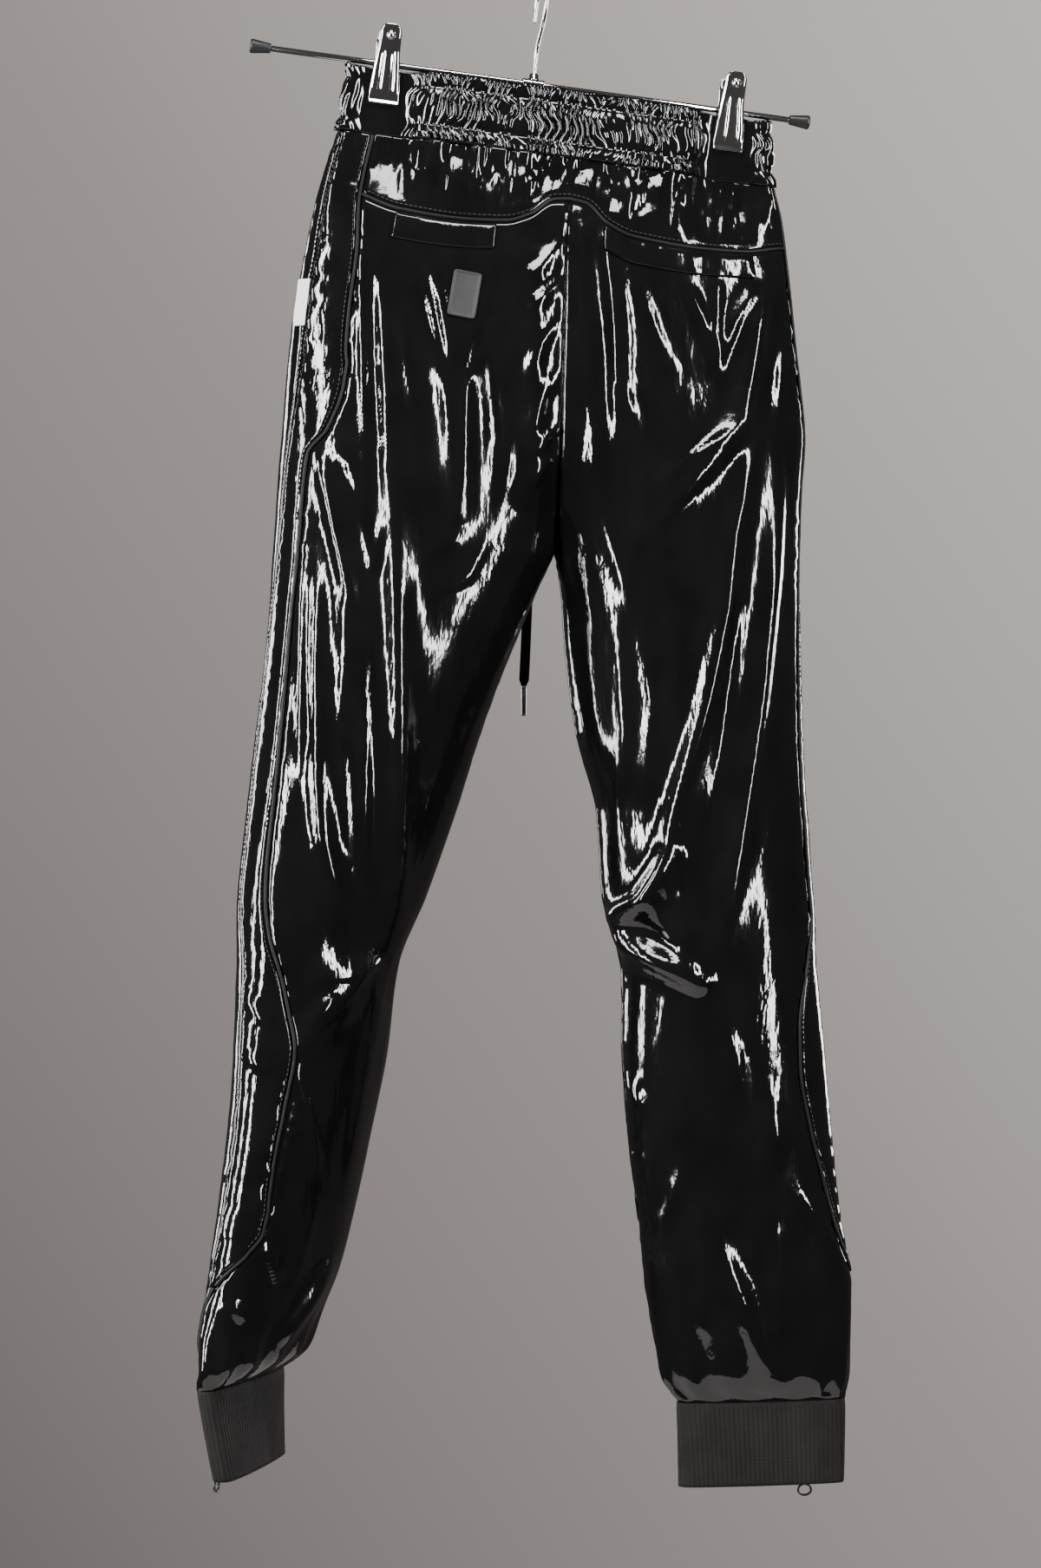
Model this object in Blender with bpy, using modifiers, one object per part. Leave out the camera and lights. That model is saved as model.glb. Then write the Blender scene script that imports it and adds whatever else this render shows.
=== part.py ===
"""Black vinyl jogger trousers, hung by two clips from a slim wire hanger.

Metres, +Z up. The origin is the inside top of the hook, where the hanger is held. +X is the
wearer's right, -Y is the back of the garment and +Y its front. The hanger hangs 6 degrees out of
level, and so does the waist.

The cloth is a set of thin walls. Each side of the garment, half the torso and one leg, is a stack of
rounded sections: an angle runs round a section from the inside (0) over the back (90), the outer
side (180) and the front (270) to the inside again. On the torso only 90 to 270 is cloth, and the
section closes under the crotch. A panel is the cloth between two seams.
"""

import math
from collections import namedtuple

import bmesh
import bpy
import numpy as np
from mathutils import Matrix, Vector

MM = 0.001

# Cloth
CLOTH = 1.2 * MM  # vinyl wall
SEAM_GAP = 0.3 * MM  # between two pieces at a seam
LAY_GAP = 0.3 * MM  # under a piece that lies on another
EDGE_ROUND = 6.0 * MM  # least radius of a section's fold
PIPING_RADIUS = 1.3 * MM
EDGE_SLACK = 0.8 * MM  # more room where a panel's edge is cut straighter than its piping
SIDE_SLACK = 0.25 * MM  # the same for the side panel, whose columns are wider
PIPING_SINK = 0.4 * MM  # the piping's centre lies this far inside the outer face

# Waistband, measured down from its top edge
WAIST_TOP = -0.0868
WAIST_HEIGHT = 0.050
WAIST_GATHERS = 148
WAIST_WALL = 1.6 * MM
TOP_DIP_AT_CLIP = 2.0 * MM  # the band's top edge is pushed down under the clip's spring
GATHERED_AT_CLIP = 3.3 * MM  # half the band's thickness between the jaws

# Hanger
HANGER_TILT = math.radians(6)
BAR_DROP = 0.0838  # bar's axis below the inside top of the hook
BAR_LENGTH = 0.388
BAR_RADIUS = 2.15 * MM
WIRE_RADIUS = 1.5 * MM
HOOK_INSIDE_RADIUS = 0.025
CLIP_PLACES = {"left": -0.109, "right": 0.149}  # along the bar from its middle
CLIP_WIDTH_TOP = 0.0155
CLIP_WIDTH_JAW = 0.0220
CLIP_ABOVE = 0.0275
CLIP_BELOW = 0.030
SHEET = 0.9 * MM

# Torso
CROTCH_Z = -0.429
FORK_Z = -0.300  # the centre seams begin to turn under here
TILT_FULL_Z = -0.150  # above this height the rows follow the hanger's slope
TILT_NONE_Z = -0.400  # below this height they are level
YOKE_SIDE_Z = -0.183
LEG_ROWS_FROM_Z = -0.262  # the back panel's rows are level below this height

# Ankle
CUFF_RIBS = 74
CUFF_WALL = 1.4 * MM
RIB_DEPTH = 0.5 * MM
ZIP_TOP = {"left": -0.955, "right": -0.962}

# Small pieces
BADGE_SIZE = (0.0205, 0.0345, 0.0016)
LABEL_SIZE = (0.011, 0.031)
EYELET_RADIUS = 0.0052
CORD_WIDTH = 0.0076
CORD_THICK = 0.0020
AGLET_RADIUS = 0.0021
AGLET_LENGTH = 0.022
SLIDER_SIZE = (0.0076, 0.0026, 0.0110)  # across the zip, out from it, along it
TAB_NECK = 0.0080
TAB_RING = (0.0058, 0.0050)  # half width and half height of the pull tab's ring
TAB_WIRE = 0.0009

SIDES = {"left": -1, "right": 1}

# The torso's sections: its outline from the back, the centre seam, half its thickness and its middle.
TorsoRow = namedtuple("TorsoRow", "z left_x right_x seam_x half_depth mid_y")
TORSO = (
    TorsoRow(-0.087, -0.1455, 0.1690, 0.020, 0.0115, 0.000),
    TorsoRow(-0.112, -0.1480, 0.1695, 0.019, 0.0125, 0.000),
    TorsoRow(-0.137, -0.1530, 0.1725, 0.018, 0.0145, 0.000),
    TorsoRow(-0.160, -0.1605, 0.1780, 0.016, 0.0200, -0.001),
    TorsoRow(-0.190, -0.1690, 0.1820, 0.012, 0.0275, -0.002),
    TorsoRow(-0.225, -0.1770, 0.1855, 0.009, 0.0350, -0.003),
    TorsoRow(-0.262, -0.1850, 0.1885, 0.007, 0.0415, -0.004),
    TorsoRow(-0.300, -0.1900, 0.1925, 0.005, 0.0470, -0.004),
    TorsoRow(-0.340, -0.1935, 0.1950, 0.004, 0.0510, -0.004),
    TorsoRow(-0.380, -0.1970, 0.1925, 0.004, 0.0540, -0.003),
    TorsoRow(CROTCH_Z, -0.2000, 0.1910, 0.007, 0.0555, -0.002),
)

# The legs' sections below the crotch: middle, half width, half depth, and the turn in degrees that
# brings the outer side round to the back.
LegRow = namedtuple("LegRow", "z mid_x mid_y half_width half_depth turn")
LEGS = {
    "left": (
        LegRow(-0.460, -0.1050, -0.002, 0.0975, 0.056, 2),
        LegRow(-0.500, -0.1150, -0.001, 0.0915, 0.056, 6),
        LegRow(-0.560, -0.1300, 0.000, 0.0850, 0.054, 13),
        LegRow(-0.620, -0.1430, 0.000, 0.0810, 0.051, 20),
        LegRow(-0.680, -0.1565, 0.000, 0.0760, 0.047, 27),
        LegRow(-0.730, -0.1670, 0.000, 0.0710, 0.043, 39),
        LegRow(-0.800, -0.1730, 0.000, 0.0740, 0.040, 46),
        LegRow(-0.860, -0.1815, 0.000, 0.0740, 0.037, 50),
        LegRow(-0.920, -0.1920, 0.000, 0.0740, 0.033, 51),
        LegRow(-0.955, -0.1990, 0.000, 0.0740, 0.030, 52),
        LegRow(-0.990, -0.2090, 0.000, 0.0720, 0.026, 54),
        LegRow(-1.012, -0.2135, 0.000, 0.0705, 0.022, 57),
        LegRow(-1.0285, -0.2235, 0.000, 0.0625, 0.0112, 59),
    ),
    "right": (
        LegRow(-0.460, 0.1015, -0.002, 0.0895, 0.056, 0),
        LegRow(-0.500, 0.1035, -0.001, 0.0885, 0.055, 0),
        LegRow(-0.560, 0.1085, 0.000, 0.0855, 0.053, 0),
        LegRow(-0.620, 0.1180, 0.000, 0.0795, 0.050, 0),
        LegRow(-0.680, 0.1225, 0.000, 0.0795, 0.048, 0),
        LegRow(-0.735, 0.1310, 0.000, 0.0735, 0.045, 0),
        LegRow(-0.800, 0.1345, 0.000, 0.0765, 0.042, 0),
        LegRow(-0.860, 0.1395, 0.000, 0.0770, 0.038, 0),
        LegRow(-0.920, 0.1465, 0.000, 0.0765, 0.034, 0),
        LegRow(-0.962, 0.1525, 0.000, 0.0785, 0.031, 0),
        LegRow(-1.000, 0.1555, 0.000, 0.0755, 0.028, 0),
        LegRow(-1.035, 0.1585, 0.000, 0.0720, 0.023, 0),
        LegRow(-1.0545, 0.1630, 0.000, 0.0640, 0.0112, 0),
    ),
}
CUFFS = {
    "left": (
        LegRow(-1.0288, -0.2235, 0.000, 0.0625, 0.0112, 59),
        LegRow(-1.0930, -0.2170, 0.000, 0.0615, 0.0100, 65),
    ),
    "right": (
        LegRow(-1.0548, 0.1630, 0.000, 0.0640, 0.0112, 0),
        LegRow(-1.1170, 0.1630, 0.000, 0.0625, 0.0100, 0),
    ),
}

# Angles of the piped back seam and the topstitched front seam of the side panel. Below the top of
# the ankle zip the zip's tape fills the space between them.
SeamRow = namedtuple("SeamRow", "z back front")
SIDE_SEAMS = {
    "left": (
        SeamRow(-0.137, 152, 175),
        SeamRow(-0.180, 150, 171),
        SeamRow(-0.230, 146, 167),
        SeamRow(-0.290, 145, 165),
        SeamRow(-0.325, 141, 165),
        SeamRow(-0.345, 143, 166),
        SeamRow(-0.362, 151, 167),
        SeamRow(-0.420, 150, 168),
        SeamRow(-0.500, 153, 177),
        SeamRow(-0.580, 155, 181),
        SeamRow(-0.660, 158, 184),
        SeamRow(-0.705, 157, 186),
        SeamRow(-0.745, 147, 187),
        SeamRow(-0.790, 139, 188),
        SeamRow(-0.830, 144, 189),
        SeamRow(-0.865, 147, 190),
        SeamRow(-0.915, 145, 191),
        SeamRow(-0.932, 157, 192),
        SeamRow(-0.945, 174, 193),
        SeamRow(-0.955, 185, 195),
        SeamRow(-0.980, 201, 210),
        SeamRow(-1.005, 217, 226),
        SeamRow(-1.0285, 230, 238),
        SeamRow(-1.093, 232, 241),
    ),
    "right": (
        SeamRow(-0.137, 178, 200),
        SeamRow(-0.200, 174, 198),
        SeamRow(-0.300, 172, 196),
        SeamRow(-0.420, 165, 190),
        SeamRow(-0.520, 160, 186),
        SeamRow(-0.620, 157, 184),
        SeamRow(-0.690, 158, 184),
        SeamRow(-0.730, 148, 184),
        SeamRow(-0.775, 135, 185),
        SeamRow(-0.810, 133, 187),
        SeamRow(-0.850, 138, 190),
        SeamRow(-0.890, 147, 190),
        SeamRow(-0.930, 158, 189),
        SeamRow(-0.950, 168, 189),
        SeamRow(-0.962, 179, 190),
        SeamRow(-0.990, 193, 203),
        SeamRow(-1.020, 209, 218),
        SeamRow(-1.0545, 224, 232),
        SeamRow(-1.117, 227, 236),
    ),
}

# The yoke's lower edge: drop below a straight line, by the share of the way from the centre back to
# the side seam.
YokeRow = namedtuple("YokeRow", "share drop")
YOKE_EDGE = (
    YokeRow(0.00, -0.0140),
    YokeRow(0.08, -0.0120),
    YokeRow(0.18, 0.0010),
    YokeRow(0.30, 0.0085),
    YokeRow(0.55, 0.0110),
    YokeRow(0.80, 0.0085),
    YokeRow(1.00, 0.0000),
)

# The largest folds, as ridges along a path seen from the back or from the front. Height is how far
# the ridge stands out, and a negative one is a trough.
Fold = namedtuple("Fold", "face width height path")
FOLDS = (
    Fold("back", 0.011, 0.0060, ((-0.074, -0.268), (-0.072, -0.340), (-0.070, -0.416))),
    Fold("back", 0.009, 0.0050, ((0.026, -0.180), (0.034, -0.290), (0.032, -0.390))),
    Fold("back", 0.010, 0.0050, ((-0.012, -0.215), (-0.017, -0.320), (-0.014, -0.404))),
    Fold("back", 0.012, 0.0060, ((0.160, -0.225), (0.137, -0.330), (0.075, -0.400))),
    Fold("back", 0.010, 0.0050, ((0.147, -0.335), (0.124, -0.470), (0.096, -0.595), (0.074, -0.685))),
    Fold("back", 0.010, 0.0045, ((0.162, -0.330), (0.160, -0.445), (0.143, -0.600), (0.116, -0.740))),
    Fold("back", 0.010, 0.0080, ((0.044, -0.702), (0.070, -0.682), (0.092, -0.640))),
    Fold("back", 0.010, 0.0080, ((0.044, -0.702), (0.072, -0.724), (0.117, -0.745))),
    Fold("back", 0.013, 0.0060, ((-0.116, -0.365), (-0.114, -0.560), (-0.113, -0.726))),
    Fold("back", 0.009, 0.0045, ((-0.167, -0.360), (-0.152, -0.435), (-0.150, -0.560))),
    Fold("back", 0.010, 0.0045, ((-0.174, -0.565), (-0.168, -0.640), (-0.153, -0.700))),
    Fold("back", 0.012, 0.0050, ((-0.125, -0.722), (-0.160, -0.762), (-0.188, -0.795))),
    Fold("back", 0.013, 0.0050, ((-0.155, -0.945), (-0.178, -0.975), (-0.196, -1.005))),
    Fold("back", 0.010, 0.0040, ((0.118, -0.920), (0.140, -0.970), (0.162, -1.035))),
    Fold("front", 0.012, 0.0050, ((0.090, -0.190), (0.084, -0.300), (0.074, -0.400))),
    Fold("front", 0.012, 0.0050, ((-0.080, -0.180), (-0.088, -0.300), (-0.080, -0.420))),
    Fold("front", 0.012, 0.0050, ((0.110, -0.450), (0.118, -0.580), (0.124, -0.700))),
    Fold("front", 0.012, 0.0050, ((-0.130, -0.450), (-0.165, -0.600), (-0.170, -0.740))),
    Fold("front", 0.012, 0.0060, ((0.062, -0.730), (0.100, -0.712), (0.150, -0.735))),
    Fold("front", 0.012, 0.0050, ((0.110, -0.860), (0.150, -0.930), (0.165, -1.010))),
)
YOKE_GATHERS = 14
YOKE_GATHER_HEIGHT = 1.3 * MM

# Rows of every leg panel, from the level rows of the torso to the top of the ankle zip.
UPPER_LEVELS = (-0.262, -0.300, -0.335, -0.365, -0.390, -0.409, -0.421, -0.427)
THIGH_LEVELS = (-0.429, -0.438, -0.456, -0.485, -0.525, -0.570, -0.615, -0.655)
KNEE_LEVELS = (-0.688, -0.710, -0.732, -0.760, -0.798, -0.842, -0.885, -0.925)
BACK_COLUMNS = 13
FRONT_COLUMNS = 7
SIDE_COLUMNS = 2

# Finishes: base colour, roughness, metallic
FINISHES = {
    "vinyl": ((0.008, 0.008, 0.009), 0.12, 0.0),
    "piping": ((0.022, 0.022, 0.024), 0.55, 0.0),
    "rib_knit": ((0.020, 0.019, 0.019), 0.90, 0.0),
    "rubber": ((0.035, 0.036, 0.038), 0.60, 0.0),
    "label": ((0.800, 0.800, 0.790), 0.80, 0.0),
    "cord": ((0.012, 0.012, 0.013), 0.85, 0.0),
    "dark_metal": ((0.120, 0.120, 0.125), 0.35, 1.0),
    "black_metal": ((0.020, 0.020, 0.022), 0.35, 1.0),
    "chrome": ((0.780, 0.780, 0.800), 0.08, 1.0),
    "cap_plastic": ((0.015, 0.015, 0.016), 0.45, 0.0),
}


# ---------------------------------------------------------------- scene

def clear_scene():
    for obj in list(bpy.data.objects):
        bpy.data.objects.remove(obj, do_unlink=True)


def new_collection(name):
    group = bpy.data.collections.new(name)
    bpy.context.scene.collection.children.link(group)
    return group


def finish(name, node):
    """The node's own Principled material, in one of the named finishes."""
    colour, roughness, metallic = FINISHES[name]
    made = bpy.data.materials.new(f"{node}_{name}")
    made.use_nodes = True
    shader = made.node_tree.nodes["Principled BSDF"]
    shader.inputs["Base Color"].default_value = (*colour, 1.0)
    shader.inputs["Roughness"].default_value = roughness
    shader.inputs["Metallic"].default_value = metallic
    return made


def keep(obj, finish_name):
    """Puts an object into the trousers' collection with its material."""
    for group in list(obj.users_collection):
        group.objects.unlink(obj)
    TROUSERS.objects.link(obj)
    obj.data.materials.clear()
    obj.data.materials.append(finish(finish_name, obj.name))
    return obj


def from_bmesh(name, mesh, finish_name, smooth=True):
    data = bpy.data.meshes.new(name)
    bmesh.ops.recalc_face_normals(mesh, faces=mesh.faces)
    mesh.to_mesh(data)
    mesh.free()
    if smooth:
        data.shade_smooth()
        data.set_sharp_from_angle(angle=math.radians(40))
    return keep(bpy.data.objects.new(name, data), finish_name)


# ---------------------------------------------------------------- sections of the garment

def smooth_step(value, low, high):
    share = np.clip((value - low) / (high - low), 0.0, 1.0)
    return share * share * (3 - 2 * share)


def column(rows, key, name, where):
    """A table's column at the given places, on a smooth curve through its rows."""
    keys = np.array([getattr(row, key) for row in rows], float)
    values = np.array([getattr(row, name) for row in rows], float)
    order = np.argsort(keys)
    keys, values = keys[order], values[order]
    if len(keys) == 2:
        return np.interp(where, keys, values)
    steps = np.diff(values) / np.diff(keys)
    both = steps[:-1] * steps[1:]
    level = np.where(both > 0, 2 * both / np.where(both > 0, steps[:-1] + steps[1:], 1.0), 0.0)
    slopes = np.concatenate([steps[:1], level, steps[-1:]])
    where = np.clip(where, keys[0], keys[-1])
    after = np.clip(np.searchsorted(keys, where, side="right"), 1, len(keys) - 1)
    span = keys[after] - keys[after - 1]
    s = (where - keys[after - 1]) / span
    return (
        (2 * s**3 - 3 * s**2 + 1) * values[after - 1]
        + (s**3 - 2 * s**2 + s) * span * slopes[after - 1]
        + (3 * s**2 - 2 * s**3) * values[after]
        + (s**3 - s**2) * span * slopes[after]
    )


def crotch_row(side):
    """The leg's first section, which the torso's last row gives."""
    last = TORSO[-1]
    outer = last.right_x if side == "right" else last.left_x
    inner = last.seam_x + SIDES[side] * SEAM_GAP / 2
    return LegRow(CROTCH_Z, (outer + inner) / 2, last.mid_y, abs(outer - inner) / 2, last.half_depth, 0)


def edge_cosine(z):
    """Cosine of the angle at which a torso section begins: 0 high up, and 1 at the crotch."""
    return 1 - np.clip((z - CROTCH_Z) / (FORK_Z - CROTCH_Z), 0.0, 1.0) ** 1.6


def torso_section(side, z):
    """Middle x, middle y, half width, half depth and turn of the sections above the crotch."""
    sign = SIDES[side]
    outer = column(TORSO, "z", "right_x" if side == "right" else "left_x", z)
    inner = column(TORSO, "z", "seam_x", z) + sign * SEAM_GAP / 2
    half_depth = column(TORSO, "z", "half_depth", z)
    cosine = edge_cosine(z)
    sine = np.sqrt(1 - cosine**2)
    width = sign * (outer - inner)
    half_width = width / (1 + cosine)
    core_depth = half_depth - EDGE_ROUND
    for _ in range(4):
        core_width = half_width - EDGE_ROUND
        across = core_depth * cosine / np.hypot(core_depth * cosine, core_width * sine)
        half_width = (width + EDGE_ROUND * (cosine - across)) / (1 + cosine)
    mid_y = column(TORSO, "z", "mid_y", z)
    return outer - sign * half_width, mid_y, half_width, half_depth, np.zeros_like(z)


def leg_section(rows, z):
    names = ("mid_x", "mid_y", "half_width", "half_depth", "turn")
    return tuple(column(rows, "z", name, z) for name in names)


def section(side, z, cuff=False):
    if cuff:
        return leg_section(CUFFS[side], z)
    above = torso_section(side, np.maximum(z, CROTCH_Z))
    below = leg_section((crotch_row(side), *LEGS[side]), np.minimum(z, CROTCH_Z))
    return tuple(np.where(z >= CROTCH_Z, high, low) for high, low in zip(above, below))


def near_path(path, x, z):
    """Distance from a path in the x-z plane, and the share of the path's length at the nearest point."""
    path = np.array(path)
    lengths = np.linalg.norm(np.diff(path, axis=0), axis=1)
    total = lengths.sum()
    best = np.full(np.shape(x), np.inf)
    share = np.zeros(np.shape(x))
    run = 0.0
    for start, end, length in zip(path[:-1], path[1:], lengths):
        step = (end - start) / length
        along = np.clip((x - start[0]) * step[0] + (z - start[1]) * step[1], 0.0, length)
        distance = np.hypot(x - start[0] - along * step[0], z - start[1] - along * step[1])
        nearer = distance < best
        best = np.where(nearer, distance, best)
        share = np.where(nearer, (run + along) / total, share)
        run += length
    return best, share


def clip_pinch(x, z):
    """How much of its full squeeze the cloth has between a clip's jaws: 1 there, 0 far away."""
    total = np.zeros(np.shape(x))
    for place in CLIP_PLACES.values():
        bar_x = place * math.cos(HANGER_TILT) - BAR_DROP * math.sin(HANGER_TILT)
        bar_z = -place * math.sin(HANGER_TILT) - BAR_DROP * math.cos(HANGER_TILT)
        across = np.abs(x - bar_x - (z - bar_z) * math.tan(HANGER_TILT))
        beside = 1 - smooth_step(across, 0.55 * CLIP_WIDTH_JAW, 0.55 * CLIP_WIDTH_JAW + 0.022)
        below = 1 - smooth_step(bar_z - z, CLIP_BELOW + 0.002, CLIP_BELOW + 0.085)
        total = np.maximum(total, beside * below)
    return total


def fold_lift(x, z, facing):
    """How far the folds raise the cloth. Facing is -1 where the cloth faces back and 1 in front."""
    lift = np.zeros(np.shape(x))
    for fold in FOLDS:
        away, share = near_path(fold.path, x, z)
        towards = smooth_step(-facing if fold.face == "back" else facing, 0.1, 0.6)
        taper = np.sin(np.pi * np.clip(share, 0.02, 0.98)) ** 0.6
        lift += fold.height * taper * towards * np.exp(-((away / fold.width) ** 2))
    near_crotch = np.hypot(x - TORSO[-1].seam_x, z - CROTCH_Z)
    return lift * smooth_step(near_crotch, 0.015, 0.060)


def tilt(z):
    return math.tan(HANGER_TILT) * smooth_step(z, TILT_NONE_Z, TILT_FULL_Z)


def cloth_point(side, angle, z, lift=0.0, cuff=False, gathers=0.0):
    """Points of the cloth's outer face, moved out by lift. Angle and z are arrays of one shape.

    z is the height that the row has at x = 0. The rows of the torso slope with the hanger.
    """
    angle, z = np.broadcast_arrays(np.asarray(angle, float), np.asarray(z, float))
    sign = SIDES[side]
    mid_x, mid_y, half_width, half_depth, turn = section(side, z, cuff)
    core_width, core_depth = half_width - EDGE_ROUND, half_depth - EDGE_ROUND
    cosine, sine = np.cos(np.radians(angle)), np.sin(np.radians(angle))
    scale = np.hypot(core_depth * cosine, core_width * sine)
    out_x, out_y = -sign * core_depth * cosine / scale, -core_width * sine / scale
    local_x, local_y = -sign * core_width * cosine, -core_depth * sine
    turned = np.radians(-sign * turn)
    turn_cos, turn_sin = np.cos(turned), np.sin(turned)
    normal_x = out_x * turn_cos - out_y * turn_sin
    normal_y = out_x * turn_sin + out_y * turn_cos
    base_x = mid_x + local_x * turn_cos - local_y * turn_sin + EDGE_ROUND * normal_x
    base_y = mid_y + local_x * turn_sin + local_y * turn_cos + EDGE_ROUND * normal_y
    high = z - tilt(z) * base_x
    raised = gathers
    if not cuff:
        squeeze = clip_pinch(base_x, high)
        loose = raised + fold_lift(base_x, high, normal_y)
        flat = GATHERED_AT_CLIP - np.abs(base_y)
        raised = loose + squeeze * np.minimum(flat - loose, 0.0)
    out = raised + lift
    x, y = base_x + out * normal_x, base_y + out * normal_y
    if not cuff:
        seam = column(TORSO, "z", "seam_x", np.maximum(z, CROTCH_Z)) + sign * SEAM_GAP / 2
        inside = np.where(z >= CROTCH_Z, sign * np.maximum(sign * (x - seam), 0.0) + seam, x)
        x = inside
    return np.stack([x, y, high], axis=-1)


def shifted(side, angle, z, distance, cuff=False):
    """The angle that lies this far along the section from the given one."""
    step = 0.5
    here = cloth_point(side, angle - step, z, cuff=cuff)
    there = cloth_point(side, angle + step, z, cuff=cuff)
    per_degree = np.linalg.norm(there - here, axis=-1) / (2 * step)
    return angle + distance / per_degree


def seam_angle(side, seam, z):
    """Angle of a seam at the given heights."""
    if seam == "centre_back":
        return np.degrees(np.arccos(edge_cosine(z)))
    if seam == "centre_front":
        return 360 - np.degrees(np.arccos(edge_cosine(z)))
    return column(SIDE_SEAMS[side], "z", seam, z)


def panel_edge(side, seam, z, room, cuff=False):
    """The angle of a panel's edge that keeps this much room from a seam. Room is positive for the
    panel in front of the seam. On the torso the centre seams have their room already."""
    angle = seam_angle(side, seam, z)
    step = 2 * MM
    above = cloth_point(side, seam_angle(side, seam, z + step), z + step, cuff=cuff)
    below = cloth_point(side, seam_angle(side, seam, z - step), z - step, cuff=cuff)
    slant = np.linalg.norm(above - below, axis=-1) / np.abs(above - below)[..., 2]
    moved = shifted(side, angle, z, room * slant, cuff)
    if seam in ("centre_back", "centre_front"):
        half_gap = np.sign(room) * SEAM_GAP / 2
        closed = shifted(side, np.where(seam == "centre_back", 0.0, 360.0) + 0 * z, z, half_gap)
        moved = np.maximum(angle, closed) if seam == "centre_back" else np.minimum(angle, closed)
    return moved


# ---------------------------------------------------------------- walls

def grid_faces(rows, columns, start, flip):
    """Triangles of a grid of points. Both sides of a wall are split along the same diagonals."""
    faces = []
    for i in range(rows - 1):
        for j in range(columns - 1):
            a = start + i * columns + j
            for face in ((a, a + columns, a + 1), (a + 1, a + columns, a + columns + 1)):
                faces.append(face[::-1] if flip else face)
    return faces


def wall(name, outer, inner, finish_name, sharp=35):
    """A closed wall between an outer and an inner grid of points of one shape (rows, columns, 3)."""
    rows, columns = outer.shape[:2]
    count = rows * columns
    faces = grid_faces(rows, columns, 0, False) + grid_faces(rows, columns, count, True)
    rim = [j for j in range(columns)]
    rim += [i * columns + columns - 1 for i in range(1, rows)]
    rim += [(rows - 1) * columns + j for j in range(columns - 2, -1, -1)]
    rim += [i * columns for i in range(rows - 2, 0, -1)]
    for a, b in zip(rim, rim[1:] + rim[:1]):
        faces.append((a, b, b + count, a + count))
    points = np.concatenate([outer.reshape(-1, 3), inner.reshape(-1, 3)])
    return solid(name, points, faces, finish_name, sharp)


def solid(name, points, faces, finish_name, sharp=35):
    data = bpy.data.meshes.new(name)
    data.from_pydata([tuple(point) for point in points], [], faces)
    mesh = bmesh.new()
    mesh.from_mesh(data)
    bmesh.ops.recalc_face_normals(mesh, faces=mesh.faces)
    if mesh.calc_volume(signed=True) < 0:
        bmesh.ops.reverse_faces(mesh, faces=mesh.faces)
    mesh.to_mesh(data)
    mesh.free()
    data.shade_smooth()
    data.set_sharp_from_angle(angle=math.radians(sharp))
    return keep(bpy.data.objects.new(name, data), finish_name)


def between(first, last, count):
    """Evenly spaced values between two columns of edge angles: shape (rows, count + 1)."""
    share = np.linspace(0, 1, count + 1)
    return first[:, None] * (1 - share) + last[:, None] * share


def ankle_gathers(side, angle, z):
    """Soft gathers of the leg above the cuff."""
    bottom = LEGS[side][-1].z
    fade = smooth_step(z, bottom + 0.060, bottom + 0.012) * smooth_step(z, bottom, bottom + 0.006)
    return 1.6 * MM * fade * np.sin(np.radians(angle) * 12)


# ---------------------------------------------------------------- torso and legs

def yoke_edge_z(side, angle):
    """Height of the yoke seam on its row at x = 0, by the angle."""
    seam = seam_angle(side, "back", np.full_like(angle, YOKE_SIDE_Z))
    share = np.cos(np.radians(angle)) / np.cos(np.radians(seam))
    return YOKE_SIDE_Z - column(YOKE_EDGE, "share", "drop", np.clip(share, 0.0, 1.0))


def yoke_room(side, angle):
    """How far above or below the yoke seam a cloth edge keeps clear of the piping."""
    step = 1.0
    ends = [cloth_point(side, angle + turn, yoke_edge_z(side, angle + turn)) for turn in (-step, step)]
    across = np.linalg.norm((ends[1] - ends[0])[..., :2], axis=-1)
    level = yoke_edge_z(side, angle + step) - yoke_edge_z(side, angle - step)
    return (PIPING_RADIUS + SEAM_GAP) * np.hypot(1.0, level / across)


def ankle_levels(side):
    bottom = LEGS[side][-1].z
    top = ZIP_TOP[side]
    return tuple(top + (bottom - top) * share for share in (0.0, 0.28, 0.54, 0.76, 0.91, 1.0))


def upper_rows():
    """Rows of the side and front panels between the waistband and the level rows."""
    waist = WAIST_TOP - WAIST_HEIGHT - SEAM_GAP
    yoke = np.linspace(waist, YOKE_SIDE_Z, 3)[:-1]
    back = np.linspace(YOKE_SIDE_Z, LEG_ROWS_FROM_Z, 4)[:-1]
    return tuple(yoke) + tuple(back)


def leg_levels(side):
    return UPPER_LEVELS + THIGH_LEVELS + KNEE_LEVELS + ankle_levels(side)


def panel(name, side, heights, first, last, columns):
    angles = between(first, last, columns)
    rows = np.broadcast_to(np.array(heights)[:, None], angles.shape)
    crimp = ankle_gathers(side, angles, rows)
    outer = cloth_point(side, angles, rows, gathers=crimp)
    inner = cloth_point(side, angles, rows, lift=-CLOTH, gathers=crimp)
    return wall(name, outer, inner, "vinyl")


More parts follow.
